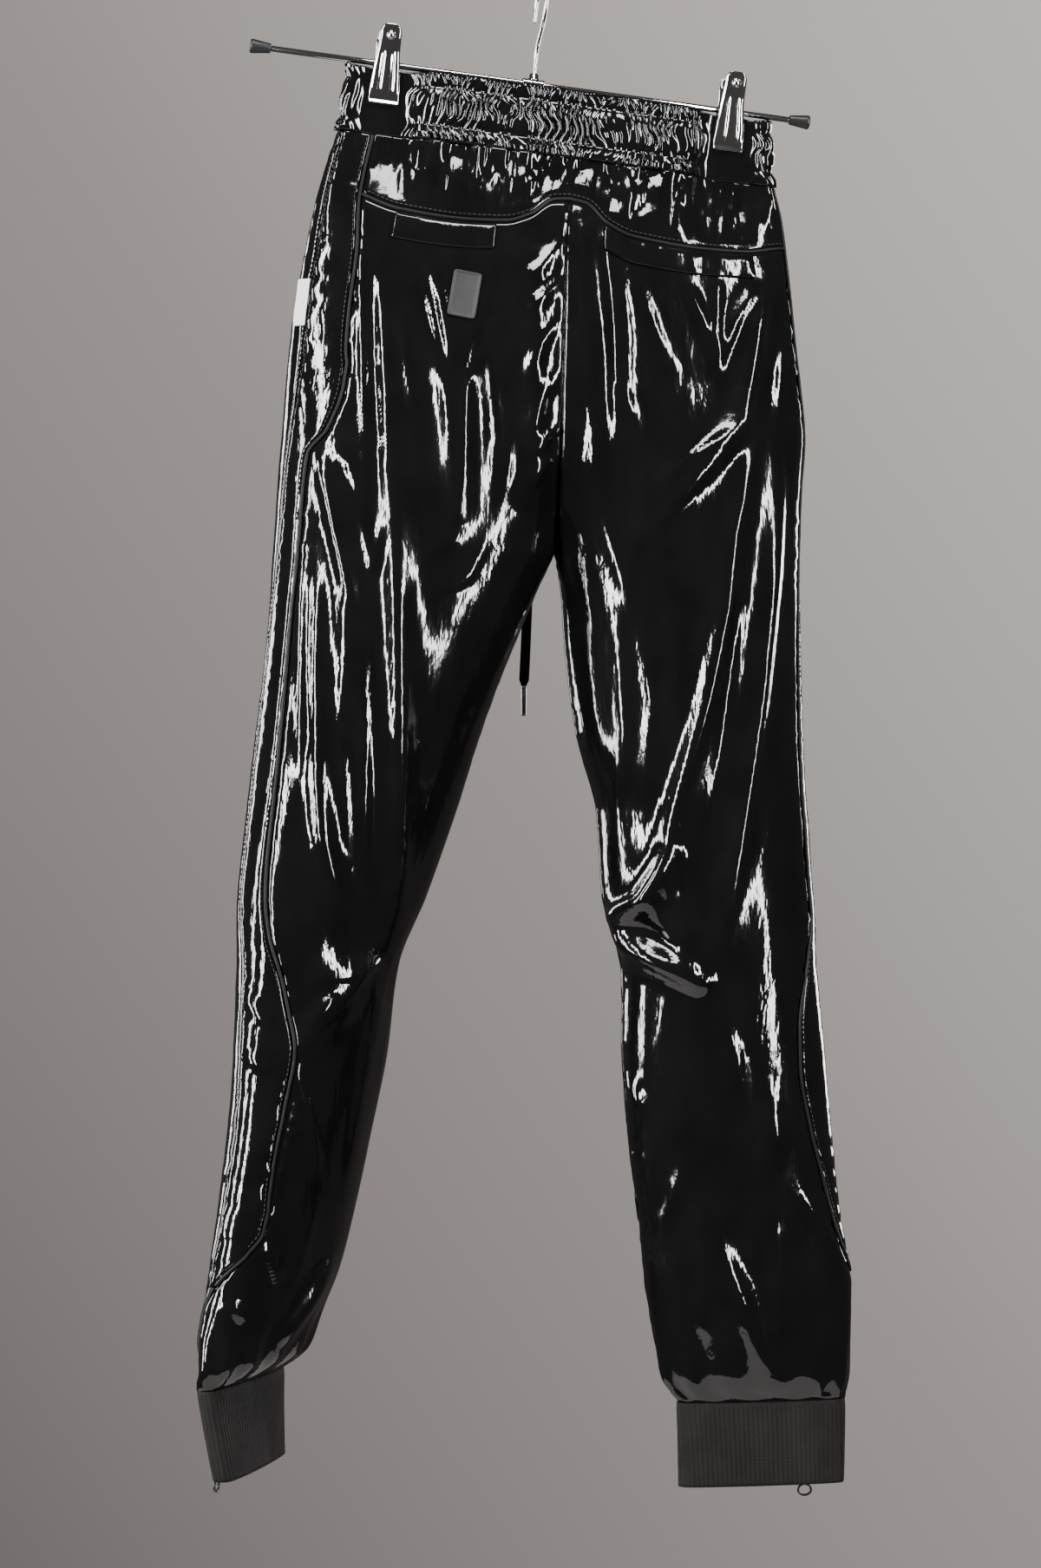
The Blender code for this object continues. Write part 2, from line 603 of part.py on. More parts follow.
def back_grid(side):
    """Angles and heights of the back panel's points: its top edge follows the yoke seam."""
    room = PIPING_RADIUS + SEAM_GAP
    levels = np.array(leg_levels(side))
    first = panel_edge(side, "centre_back", levels, SEAM_GAP / 2)
    last = panel_edge(side, "back", levels, -np.where(levels < ZIP_TOP[side], SEAM_GAP / 2, room))
    top_angles = yoke_angles(side, BACK_COLUMNS)
    top_heights = yoke_edge_z(side, top_angles) - yoke_room(side, top_angles) - EDGE_SLACK
    down = np.array([0.0, 0.34, 0.67])[:, None]
    upper_heights = top_heights * (1 - down) + levels[0] * down
    upper_last = panel_edge(side, "back", upper_heights[:, -1], -room)
    across = yoke_shares(BACK_COLUMNS) * (1 - down) + np.linspace(0, 1, BACK_COLUMNS + 1) * down
    upper_angles = 90.0 + (upper_last[:, None] - 90.0) * across
    angles = np.vstack([upper_angles, between(first, last, BACK_COLUMNS)])
    heights = np.vstack([upper_heights, np.repeat(levels[:, None], BACK_COLUMNS + 1, axis=1)])
    return angles, heights


def back_panel(side):
    """From the yoke seam to the cuff, between the centre back or inseam and the piping."""
    angles, heights = back_grid(side)
    crimp = ankle_gathers(side, angles, heights)
    outer = cloth_point(side, angles, heights, gathers=crimp)
    inner = cloth_point(side, angles, heights, lift=-CLOTH, gathers=crimp)
    return wall(f"back_panel_{side}", outer, inner, "vinyl")


def yoke_shares(count):
    """Places of the yoke's columns from the centre back to the piping, closer where its edge peaks."""
    return np.linspace(0, 1, count + 1) ** 1.35


def yoke_angles(side, count):
    """Angles of the yoke's columns along its lower edge on one side."""
    room = PIPING_RADIUS + SEAM_GAP
    edge = panel_edge(side, "back", np.array([YOKE_SIDE_Z]), -room)[0]
    return 90.0 + (edge - 90.0) * yoke_shares(count)


def front_panel(side):
    levels = np.array(upper_rows() + leg_levels(side))
    last = panel_edge(side, "centre_front", levels, -SEAM_GAP / 2)
    first = panel_edge(side, "front", levels, np.full_like(levels, SEAM_GAP / 2))
    return panel(f"front_panel_{side}", side, levels, first, last, FRONT_COLUMNS)


def side_panel(side):
    """The strip between the piping and the front seam, down to the zip."""
    levels = upper_rows() + UPPER_LEVELS + THIGH_LEVELS + KNEE_LEVELS
    levels = np.array(levels + (ZIP_TOP[side] + SEAM_GAP,))
    first = panel_edge(side, "back", levels, PIPING_RADIUS + SEAM_GAP + SIDE_SLACK)
    last = panel_edge(side, "front", levels, -SEAM_GAP / 2)
    return panel(f"side_panel_{side}", side, levels, first, last, SIDE_COLUMNS)


def back_yoke():
    """One piece across the back, gathered into the waistband, with two scallops below."""
    top = WAIST_TOP - WAIST_HEIGHT - SEAM_GAP
    room = PIPING_RADIUS + SEAM_GAP
    shares = np.array([0.0, 0.34, 0.67, 1.0])[:, None]
    halves = []
    for side in ("left", "right"):
        edges = [
            panel_edge(side, "back", np.array([z]), -room)[0]
            for z in (top * (1 - shares) + YOKE_SIDE_Z * shares)[:, 0]
        ]
        share = yoke_shares(2 * BACK_COLUMNS)
        angles = 90.0 + share * (np.array(edges)[:, None] - 90.0)
        bottom = yoke_edge_z(side, angles[-1]) + yoke_room(side, angles[-1])
        heights = top * (1 - shares) + bottom * shares
        wave = np.cos(np.pi * np.linspace(0, 1, len(share)) * YOKE_GATHERS) * (1 - shares) ** 0.7
        crimp = YOKE_GATHER_HEIGHT * wave * np.minimum(1.0, 12 * share * (1 - share))
        outer = cloth_point(side, angles, heights, gathers=crimp)
        inner = cloth_point(side, angles, heights, lift=-CLOTH, gathers=crimp)
        if side == "left":
            outer, inner = outer[:, ::-1], inner[:, ::-1]
        else:
            outer, inner = outer[:, 1:], inner[:, 1:]
        halves.append((outer, inner))
    outer = np.concatenate([half[0] for half in halves], axis=1)
    inner = np.concatenate([half[1] for half in halves], axis=1)
    return wall("back_yoke", outer, inner, "vinyl")


def tube(name, points, radius, finish_name, resolution=2, cyclic=False):
    """A round wire along the points."""
    curve = bpy.data.curves.new(name, "CURVE")
    curve.dimensions = "3D"
    curve.bevel_depth = radius
    curve.bevel_resolution = resolution
    curve.use_fill_caps = True
    spline = curve.splines.new("POLY")
    spline.points.add(len(points) - 1)
    for target, point in zip(spline.points, points):
        target.co = (*point, 1.0)
    spline.use_cyclic_u = cyclic
    return keep(bpy.data.objects.new(name, curve), finish_name)


def side_piping(side):
    levels = np.array(upper_rows() + UPPER_LEVELS + THIGH_LEVELS + KNEE_LEVELS + (ZIP_TOP[side] + 2 * MM,))
    levels[0] -= SEAM_GAP + PIPING_RADIUS / 2
    points = cloth_point(side, seam_angle(side, "back", levels), levels, lift=-PIPING_SINK)
    return tube(f"piping_{side}", points, PIPING_RADIUS, "piping", 1)


def yoke_piping():
    rows = []
    for side in ("left", "right"):
        angles = yoke_angles(side, 2 * BACK_COLUMNS)
        angles[-1] = shifted(side, angles[-1], np.array(YOKE_SIDE_Z), -0.5 * MM)
        points = cloth_point(side, angles, yoke_edge_z(side, angles), lift=-PIPING_SINK)
        rows.append(points[::-1] if side == "left" else points[1:])
    return tube("yoke_piping", np.concatenate(rows), PIPING_RADIUS, "piping", 1)


# ---------------------------------------------------------------- waistband

# The band's profile from the top edge down: how far each row stands out, and its gathers' height.
BandRow = namedtuple("BandRow", "down out gather")
BAND = (
    BandRow(0.0000, 0.0012, 0.0009),
    BandRow(0.0100, 0.0002, 0.0005),
    BandRow(0.0245, 0.0029, 0.0010),
    BandRow(0.0390, 0.0004, 0.0005),
    BandRow(WAIST_HEIGHT, 0.0022, 0.0011),
)


INSIDE_LEVELS = (0.0, 0.35, 0.7, 1.0)  # rows of the band's plain inside, as shares of its height


def round_the_waist(count):
    """(side, angle) of points spaced evenly round the waist, from the centre back over the right."""
    fine = np.linspace(90.0, 270.0, 721)
    middle = WAIST_TOP - WAIST_HEIGHT / 2
    right = cloth_point("right", fine, middle)
    left = cloth_point("left", fine[::-1], middle)
    loop = np.concatenate([right, left])
    sides = ["right"] * len(fine) + ["left"] * len(fine)
    angles = np.concatenate([fine, fine[::-1]])
    run = np.concatenate([[0.0], np.cumsum(np.linalg.norm(np.diff(loop, axis=0), axis=1))])
    places = np.arange(count) / count * run[-1]
    nearest = np.searchsorted(run, places)
    return [(sides[i], angles[i]) for i in nearest]


def waistband():
    """A ring with gathers raised in its outer points, over a plain inside."""
    outside = round_the_waist(2 * WAIST_GATHERS)
    inside = round_the_waist(WAIST_GATHERS // 2)
    points = []
    for row in BAND:
        z = WAIST_TOP - row.down
        for number, (side, angle) in enumerate(outside):
            wave = row.gather if number % 2 else -row.gather
            points.append(cloth_point(side, angle, z, gathers=row.out + wave))
    for z in WAIST_TOP - WAIST_HEIGHT * np.array(INSIDE_LEVELS):
        for side, angle in inside:
            points.append(cloth_point(side, angle, z, lift=-WAIST_WALL))
    points = np.array(points)
    top_edge = np.r_[0 : len(outside), len(BAND) * len(outside) : len(BAND) * len(outside) + len(inside)]
    points[top_edge, 2] -= TOP_DIP_AT_CLIP * clip_pinch(points[top_edge, 0], points[top_edge, 2])
    many, few, rows = len(outside), len(inside), len(BAND)
    faces = []
    for i in range(rows - 1):
        for j in range(many):
            k = (j + 1) % many
            faces.append((i * many + j, (i + 1) * many + j, (i + 1) * many + k, i * many + k))
    start = rows * many
    last = start + (len(INSIDE_LEVELS) - 1) * few
    for ring in range(start, last, few):
        for j in range(few):
            k = (j + 1) % few
            faces.append((ring + j, ring + k, ring + few + k, ring + few + j))
    step = many // few
    for ring, outer_start in ((start, 0), (last, (rows - 1) * many)):
        for j in range(few):
            k = (j + 1) % few
            fan = [outer_start + (j * step + i) % many for i in range(step + 1)]
            half = step // 2
            for i in range(step):
                apex = ring + (j if i < half else k)
                faces.append((fan[i], fan[i + 1], apex))
            faces.append((fan[half], ring + k, ring + j))
    return solid("waistband", points, faces, "vinyl", 60)


# ---------------------------------------------------------------- cuffs and zips

def cuff(side):
    """A ribbed ring that is open at the zip. The ribs are raised over a plain inside."""
    top, bottom = CUFFS[side][0].z, CUFFS[side][1].z
    levels = np.array([top, bottom])
    first = panel_edge(side, "front", levels, SEAM_GAP / 2, True)
    last = 360 + panel_edge(side, "back", levels, -SEAM_GAP / 2, True)
    fine = between(first, last, 2 * CUFF_RIBS)
    fine = even_angles(side, fine, levels)
    ribs = np.where(np.arange(fine.shape[1]) % 2, RIB_DEPTH, 0.0)[None, :]
    outer = cloth_point(side, fine, levels[:, None], cuff=True, gathers=ribs)
    plain = fine[:, ::4]
    inner = cloth_point(side, plain, levels[:, None], lift=-CUFF_WALL, cuff=True)
    many, few = fine.shape[1], plain.shape[1]
    points = np.concatenate([outer.reshape(-1, 3), inner.reshape(-1, 3)])
    start = 2 * many
    faces = grid_faces(2, many, 0, False) + grid_faces(2, few, start, True)
    for row in (0, 1):
        for j in range(few - 1):
            fan = [row * many + 4 * j + i for i in range(5)]
            a, b = start + row * few + j, start + row * few + j + 1
            faces += [(fan[0], fan[1], a), (fan[1], fan[2], a), (fan[2], fan[3], b), (fan[3], fan[4], b)]
            faces.append((fan[2], b, a))
    faces.append((0, start, start + few, many))
    faces.append((many - 1, 2 * many - 1, start + 2 * few - 1, start + few - 1))
    return solid(f"cuff_{side}", points, faces, "rib_knit", 60)


def even_angles(side, angles, levels):
    """The same number of angles in each row, spaced evenly along the cloth."""
    rows = []
    for row, z in zip(angles, levels):
        fine = np.linspace(row[0], row[-1], 720)
        points = cloth_point(side, fine, np.full_like(fine, z), cuff=True)
        run = np.concatenate([[0.0], np.cumsum(np.linalg.norm(np.diff(points, axis=0), axis=1))])
        rows.append(np.interp(np.linspace(0, run[-1], len(row)), run, fine))
    return np.array(rows)


def zip_strip(side):
    """The closed zip with its tape, from the end of the side panel through the cuff."""
    rows = []
    leg = np.array(ankle_levels(side))
    leg[0] -= SEAM_GAP
    cuff_rows = np.array([CUFFS[side][0].z, CUFFS[side][1].z])
    for levels, on_cuff in ((leg[:-1], False), (cuff_rows, True)):
        first = panel_edge(side, "back", levels, SEAM_GAP / 2, on_cuff)
        last = panel_edge(side, "front", levels, -SEAM_GAP / 2, on_cuff)
        angles = between(first, last, 2)
        heights = np.repeat(levels[:, None], 3, axis=1)
        crimp = 0.0 if on_cuff else ankle_gathers(side, angles, heights)
        outer = cloth_point(side, angles, heights, cuff=on_cuff, gathers=crimp)
        inner = cloth_point(side, angles, heights, lift=-CLOTH, cuff=on_cuff, gathers=crimp)
        rows.append((outer, inner))
    outer = np.concatenate([rows[0][0], rows[1][0]])
    inner = np.concatenate([rows[0][1], rows[1][1]])
    return wall(f"zip_{side}", outer, inner, "cord")


def zip_frame(side, above_hem):
    """Origin on the zip's outer face, and the directions across it and out of the cloth."""
    hem = CUFFS[side][1].z
    heights = np.array([hem + above_hem, hem + above_hem + 0.010])
    middle = (seam_angle(side, "back", heights) + seam_angle(side, "front", heights)) / 2
    low, high = cloth_point(side, middle, heights, cuff=True)
    beside = cloth_point(side, middle[0] + 1.0, heights[0], cuff=True)
    origin, up, across = Vector(low), Vector(high - low), Vector(beside - low)
    out = across.cross(up).normalized()
    middle = Vector((float(section(side, heights[0], True)[0]), 0.0, origin.z))
    if out.dot(origin - middle) < 0:
        out = -out
    across = out.cross(Vector((0.0, 0.0, 1.0))).normalized()
    return origin, across, across.cross(out).cross(across).normalized()


def box_mesh(mesh, size, matrix):
    made = bmesh.ops.create_cube(mesh, size=1.0)
    scale = Matrix.Diagonal((*size, 1.0))
    bmesh.ops.transform(mesh, matrix=matrix @ scale, verts=made["verts"])
    return made["verts"]


def joined(name, pieces, finish_name, bevel=0.0):
    """One body from overlapping pieces, by Boolean unions."""
    first, others = pieces[0], pieces[1:]
    for other in others:
        union = first.modifiers.new(f"join_{other.name}", "BOOLEAN")
        union.operation = "UNION"
        union.object = other
        other.hide_render = True
        other.display_type = "WIRE"
    if bevel:
        edge = first.modifiers.new("edges", "BEVEL")
        edge.width = bevel
        edge.segments = 1
        edge.limit_method = "ANGLE"
    first.name = name
    return keep(first, finish_name)


def helper(name, mesh):
    data = bpy.data.meshes.new(name)
    bmesh.ops.recalc_face_normals(mesh, faces=mesh.faces)
    mesh.to_mesh(data)
    mesh.free()
    obj = bpy.data.objects.new(name, data)
    HELPERS.objects.link(obj)
    return obj


def box_helper(name, size, matrix):
    mesh = bmesh.new()
    box_mesh(mesh, size, matrix)
    return helper(name, mesh)


def slider_frame(side):
    """Matrix of the zip slider: x across the zip, y out of the cloth and z up along it."""
    origin, across, out = zip_frame(side, SLIDER_ABOVE_HEM)
    axes = Matrix((across, out, across.cross(out))).transposed().to_4x4()
    return Matrix.Translation(origin) @ axes


SLIDER_ABOVE_HEM = 0.0078
PIVOT_OUT = LAY_GAP + SLIDER_SIZE[1] + 1.2 * MM
PIVOT_DOWN = SLIDER_SIZE[2] / 2 - 1.2 * MM
EYE_WIDTH = 2.4 * MM


def slider(side):
    """The zip's slider, with two ears that hold the pull tab's eye."""
    place = slider_frame(side)
    width, thick, length = SLIDER_SIZE
    middle = LAY_GAP + thick / 2
    body = box_helper("slider_body", (width, thick, length), place @ Matrix.Translation((0, middle, 0)))
    pieces = [body]
    ear_tall = PIVOT_OUT + 1.1 * MM - middle
    for hand in (-1, 1):
        where = Matrix.Translation((hand * (EYE_WIDTH / 2 + LAY_GAP + 0.5 * MM), middle + ear_tall / 2, -PIVOT_DOWN))
        pieces.append(box_helper(f"ear_{hand}", (1.0 * MM, ear_tall, 2.6 * MM), place @ where))
    return joined(f"zip_slider_{side}", pieces, "black_metal")


def pull_tab(side):
    """The ring pull that hangs from the slider. Its origin is on the hinge's axis."""
    pivot, across = tab_axis(side)
    up = Vector((0.0, 0.0, 1.0))
    axes = Matrix((across, up.cross(across), up)).transposed().to_4x4()
    place = Matrix.Translation(pivot) @ axes
    eye = bmesh.new()
    bmesh.ops.create_cone(
        eye, cap_ends=True, segments=10, radius1=TAB_WIRE, radius2=TAB_WIRE, depth=EYE_WIDTH,
        matrix=place @ Matrix.Rotation(math.pi / 2, 4, "Y"),
    )
    pieces = [helper("tab_eye", eye)]
    neck = bmesh.new()
    verts = box_mesh(neck, (1.0, 1.0, 1.0), Matrix.Identity(4))
    for vert in verts:
        low = vert.co.z < 0
        vert.co.x *= 4.6 * MM if low else 1.8 * MM
        vert.co.y *= 1.1 * MM
        vert.co.z = -TAB_NECK if low else -0.2 * MM
    bmesh.ops.transform(neck, matrix=place, verts=neck.verts)
    pieces.append(helper("tab_neck", neck))
    ring = bmesh.new()
    steps, around = 16, 5
    loops = []
    centre_z = -TAB_NECK - TAB_RING[1] + 1.4 * MM
    for i in range(steps):
        turn = 2 * math.pi * i / steps
        loop = []
        for j in range(around):
            roll = 2 * math.pi * (j + 0.5) / around
            reach = TAB_WIRE * math.cos(roll)
            x = (TAB_RING[0] - TAB_WIRE + reach) * math.cos(turn)
            z = centre_z + (TAB_RING[1] - TAB_WIRE + reach) * math.sin(turn)
            loop.append(ring.verts.new(place @ Vector((x, TAB_WIRE * math.sin(roll), z))))
        loops.append(loop)
    for i in range(steps):
        for j in range(around):
            a, b = loops[i], loops[(i + 1) % steps]
            k = (j + 1) % around
            ring.faces.new((a[j], a[k], b[k], b[j]))
    pieces.append(helper("tab_ring", ring))
    return joined(f"pull_tab_{side}", pieces, "black_metal")


def tab_axis(side):
    """Point and direction of the pull tab's hinge."""
    place = slider_frame(side)
    pivot = place @ Vector((0, PIVOT_OUT, -PIVOT_DOWN))
    return pivot, place.to_3x3().col[0].normalized()


# ---------------------------------------------------------------- what lies on the cloth

def back_angle(side, x, z_row):
    """The angle at which the back of a section has the given x."""
    low, high = np.full(np.shape(x), 91.0), np.full(np.shape(x), 175.0)
    sign = SIDES[side]
    for _ in range(30):
        middle = (low + high) / 2
        short = sign * (cloth_point(side, middle, z_row)[..., 0] - x) < 0
        low, high = np.where(short, middle, low), np.where(short, high, middle)
    return (low + high) / 2


def patch(name, side, angles, heights, gap, thick, finish_name):
    """A piece that lies on the cloth, made from the cloth's points moved out."""
    outer = cloth_point(side, angles, heights, lift=gap + thick)
    inner = cloth_point(side, angles, heights, lift=gap)
    return wall(name, outer, inner, finish_name)


# The back pockets' bands lie on the back panel's first row, from one of its columns to another.
PocketRow = namedtuple("PocketRow", "side columns")
POCKETS = (PocketRow("left", (5, 10)), PocketRow("right", (3, 9)))
BAND_TOP_SHARE = 0.06
BAND_FOOT_SHARE = 0.78
BAND_THICK = 0.8 * MM


def pocket_band(row):
    """The stitched band of a back pocket, just under the yoke's piping, on the panel's own columns."""
    angles, heights = back_grid(row.side)
    first, last = row.columns
    shares = np.array([BAND_TOP_SHARE, (BAND_TOP_SHARE + BAND_FOOT_SHARE) / 2, BAND_FOOT_SHARE])[:, None]
    panel = cloth_point(row.side, angles, heights)[:2, first : last + 1]
    out = cloth_point(row.side, angles, heights, lift=MM)[:2, first : last + 1] - panel
    flat = panel[0] * (1 - shares[..., None]) + panel[1] * shares[..., None]
    up = (out[0] * (1 - shares[..., None]) + out[1] * shares[..., None]) / MM
    outer = flat + up * (LAY_GAP + BAND_THICK)
    inner = flat + up * LAY_GAP
    return wall(f"pocket_band_{row.side}", outer, inner, "vinyl")


BADGE_AT = (-0.0655, -0.2440)
BADGE_GAP = 0.9 * MM
BADGE_LEAN = math.radians(11)


def badge():
    """A plain rubber badge on the left back panel."""
    width, height, thick = BADGE_SIZE
    across, down = np.meshgrid(np.linspace(-width / 2, width / 2, 4), np.linspace(height / 2, -height / 2, 5))
    x = BADGE_AT[0] + across * math.cos(BADGE_LEAN) + down * math.sin(BADGE_LEAN)
    high = BADGE_AT[1] - across * math.sin(BADGE_LEAN) + down * math.cos(BADGE_LEAN)
    rows = high + tilt(high) * x
    angles = back_angle("left", x, rows)
    return patch("badge", "left", angles, rows, BADGE_GAP, thick, "rubber")


LABEL_TOP = -0.2445


def side_label():
    """A bare folded label in the left front seam, lying on the front panel."""
    width, height = LABEL_SIZE
    rows = np.linspace(LABEL_TOP, LABEL_TOP - height, 4)[:, None]
    seam = seam_angle("left", "front", rows)
    first = shifted("left", seam, rows, SEAM_GAP)
    last = shifted("left", seam, rows, width)
    angles = first + (last - first) * np.linspace(0, 1, 3)
    heights = np.broadcast_to(rows, angles.shape)
    return patch("side_label", "left", angles, heights, LAY_GAP, 0.7 * MM, "label")


EYELET_SPREAD = 0.021
EYELET_DOWN = 0.025


def front_point(x, z_row, lift):
    """A point in front of the torso's cloth at the given x."""
    side = "right" if x > column(TORSO, "z", "seam_x", np.array(z_row)) else "left"
    low, high = 185.0, 269.0
    for _ in range(30):
        middle = (low + high) / 2
        beyond = SIDES[side] * (cloth_point(side, middle, z_row)[0] - x) > 0
        low, high = (middle, high) if beyond else (low, middle)
    return cloth_point(side, low, z_row, lift=lift)


def eyelet_centre(hand):
    middle = column(TORSO, "z", "seam_x", np.array(WAIST_TOP - EYELET_DOWN))
    return Vector(front_point(middle + hand * EYELET_SPREAD, WAIST_TOP - EYELET_DOWN, 4.6 * MM))


def eyelet(side):
    """A metal ring in the front of the waistband."""
    hand = SIDES[side]
    data = bpy.data.meshes.new(f"eyelet_{side}")
    profile = ((EYELET_RADIUS, 0.4), (EYELET_RADIUS, -0.4), (0.0030, -0.4), (0.0030, 0.4))
    data.from_pydata([(r, 0.0, h * MM) for r, h in profile], [(0, 1), (1, 2), (2, 3), (3, 0)], [])
    ring = keep(bpy.data.objects.new(f"eyelet_{side}", data), "dark_metal")
    turn = ring.modifiers.new("turn", "SCREW")
    turn.steps = turn.render_steps = 16
    turn.use_merge_vertices = True
    turn.merge_threshold = 0.00001
    ring.location = eyelet_centre(hand)
    ring.rotation_euler = (math.radians(90), 0, 0)
    return ring


# Where each drawstring end hangs: x and y by the share of its height below the eyelet.
CordRow = namedtuple("CordRow", "share x y")
CORDS = {
    "left": (
        CordRow(0.00, -0.002, 0.0225),
        CordRow(0.04, -0.002, 0.0290),
        CordRow(0.10, -0.002, 0.0350),
        CordRow(0.20, -0.002, 0.0440),
        CordRow(0.35, -0.003, 0.0540),
        CordRow(0.55, -0.002, 0.0600),
        CordRow(0.75, -0.002, 0.0615),
        CordRow(0.90, -0.004, 0.0610),
        CordRow(1.00, -0.006, 0.0605),
    ),
    "right": (
        CordRow(0.00, 0.040, 0.0225),
        CordRow(0.06, 0.041, 0.0295),
        CordRow(0.14, 0.042, 0.0340),
        CordRow(0.30, 0.042, 0.0420),
        CordRow(0.55, 0.041, 0.0520),
        CordRow(0.80, 0.040, 0.0575),
        CordRow(1.00, 0.039, 0.0590),
    ),
}
CORD_FOOT = {"left": -0.5240, "right": -0.3500}
CORD_POINTS = {"left": 27, "right": 17}
# How a drawstring end turns down from its eyelet: distance in front of the eyelet and below its centre.
CORD_BEND = ((0.4 * MM + SEAM_GAP, 0.0), (2.6 * MM, 0.3 * MM), (4.4 * MM, 1.9 * MM))


def cord_route(side):
    """Points down the middle of a drawstring end, from its eyelet to its metal tip."""
    top = eyelet_centre(SIDES[side])
    share = np.linspace(0, 1, CORD_POINTS[side])[1:]
    rows = CORDS[side]
    x, y = column(rows, "share", "x", share), column(rows, "share", "y", share)
    z = top.z + (CORD_FOOT[side] - top.z) * share
    bend = [(top.x, top.y + out, top.z - down) for out, down in CORD_BEND]
    return np.concatenate([bend, np.stack([x, y, z], axis=-1)])


def drawstring(side):
    """A flat braided cord: a curve whose bevel and extrusion give it its width and thickness."""
    cord = tube(f"drawstring_{side}", cord_route(side), CORD_THICK / 2, "cord", 0)
    cord.data.extrude = (CORD_WIDTH - CORD_THICK) / 2
    for point in cord.data.splines[0].points:
        point.tilt = math.pi / 2
    return cord


def aglet(side):
    """The metal tip of a drawstring end."""
    foot = Vector(cord_route(side)[-1])
    mesh = bmesh.new()
    bmesh.ops.create_cone(
        mesh, cap_ends=True, segments=12, radius1=AGLET_RADIUS * 0.8, radius2=AGLET_RADIUS, depth=AGLET_LENGTH,
        matrix=Matrix.Translation(foot - Vector((0, 0, AGLET_LENGTH / 2 + LAY_GAP))),
    )
    return from_bmesh(f"aglet_{side}", mesh, "dark_metal")


# ---------------------------------------------------------------- hanger

def hanger_matrix(x=0.0, z=0.0):
    """A place on the hanger: along the bar and above the hook's inside top, turned with the hanger."""
    return Matrix.Rotation(HANGER_TILT, 4, "Y") @ Matrix.Translation((x, 0, z))


def hook():
    """The wire that goes up from the bracket and bends over forwards into the hook."""
    radius = HOOK_INSIDE_RADIUS + WIRE_RADIUS
    shank_top = -2 * HOOK_INSIDE_RADIUS - 8 * MM
    points = [(0.0, 0.0, -BAR_DROP + 8.0 * MM), (0.0, 0.0, -BAR_DROP + 14 * MM), (0.0, -0.001, shank_top)]
    for degrees in range(-56, 206, 14):
        turn = math.radians(degrees)
        points.append((0.0, -radius * math.cos(turn), -HOOK_INSIDE_RADIUS + radius * math.sin(turn)))
    wire = tube("hanger_hook", points, WIRE_RADIUS, "chrome", 2)
    wire.matrix_world = hanger_matrix()
    return wire


def bar():
    bpy.ops.mesh.primitive_cylinder_add(vertices=16, radius=BAR_RADIUS, depth=BAR_LENGTH)
    rod = bpy.context.object
    rod.name = rod.data.name = "hanger_bar"
    rod.matrix_world = hanger_matrix(0, -BAR_DROP) @ Matrix.Rotation(math.pi / 2, 4, "Y")
    return keep(rod, "chrome")


def end_cap(side):
    """A tapered black cap over the end of the bar."""
    mesh = bmesh.new()
    turn = Matrix.Rotation(SIDES[side] * math.pi / 2, 4, "Y")
    centre = SIDES[side] * (BAR_LENGTH / 2 + LAY_GAP + 0.0075)
    bmesh.ops.create_cone(
        mesh, cap_ends=True, segments=18, radius1=0.0034, radius2=0.0054, depth=0.015,
        matrix=hanger_matrix(centre, -BAR_DROP) @ turn,
    )
    cap = from_bmesh(f"hanger_cap_{side}", mesh, "cap_plastic")
    edge = cap.modifiers.new("edges", "BEVEL")
    edge.width = 1.0 * MM
    edge.segments = 1
    edge.limit_method = "ANGLE"
    return cap


def bracket():
    """A folded steel saddle over the bar. The hook's shank ends in it."""
    place = hanger_matrix(0, -BAR_DROP)
    wide, deep, tall = 0.016, 0.0082, 0.015
    outer = box_helper("bracket_block", (wide, deep, tall), place @ Matrix.Translation((0, 0, 0.0)))
    slot = box_helper(
        "bracket_slot", (wide * 2, 2 * (BAR_RADIUS + 0.3 * MM), tall),
        place @ Matrix.Translation((0, 0, BAR_RADIUS + 0.3 * MM - tall / 2)),
    )
    slot.hide_render = True
    slot.display_type = "WIRE"
    outer.name = "hanger_bracket"
    cut = outer.modifiers.new("bar_slot", "BOOLEAN")
    cut.operation = "DIFFERENCE"
    cut.object = slot
    edge = outer.modifiers.new("edges", "BEVEL")
    edge.width = 0.5 * MM
    edge.limit_method = "ANGLE"
    return keep(outer, "chrome")


# A jaw's profile, seen along the bar: height above the bar's axis, distance of its inner face from
# the hanger's middle plane, and share of the way from the narrow handle to the wide jaw.
JawRow = namedtuple("JawRow", "z y spread")
JAW = (
    JawRow(CLIP_ABOVE, 0.0125, 0.00),
    JawRow(0.0180, 0.0105, 0.05),
    JawRow(0.0080, 0.0068, 0.20),
    JawRow(0.0000, 0.0050, 0.45),
    JawRow(-0.0140, 0.0060, 0.85),
    JawRow(-0.0260, 0.0037, 1.00),
    JawRow(-CLIP_BELOW, 0.0052, 1.00),
)
# Across a jaw: the share of its half width, and how far two pressed ridges raise it.
RidgeRow = namedtuple("RidgeRow", "share rise")
RIDGES = (
    RidgeRow(-1.0, 0.0),
    RidgeRow(-0.66, 0.0),
    RidgeRow(-0.42, 0.0008),
    RidgeRow(0.0, 0.0),
    RidgeRow(0.42, 0.0008),
    RidgeRow(0.66, 0.0),
    RidgeRow(1.0, 0.0),
)


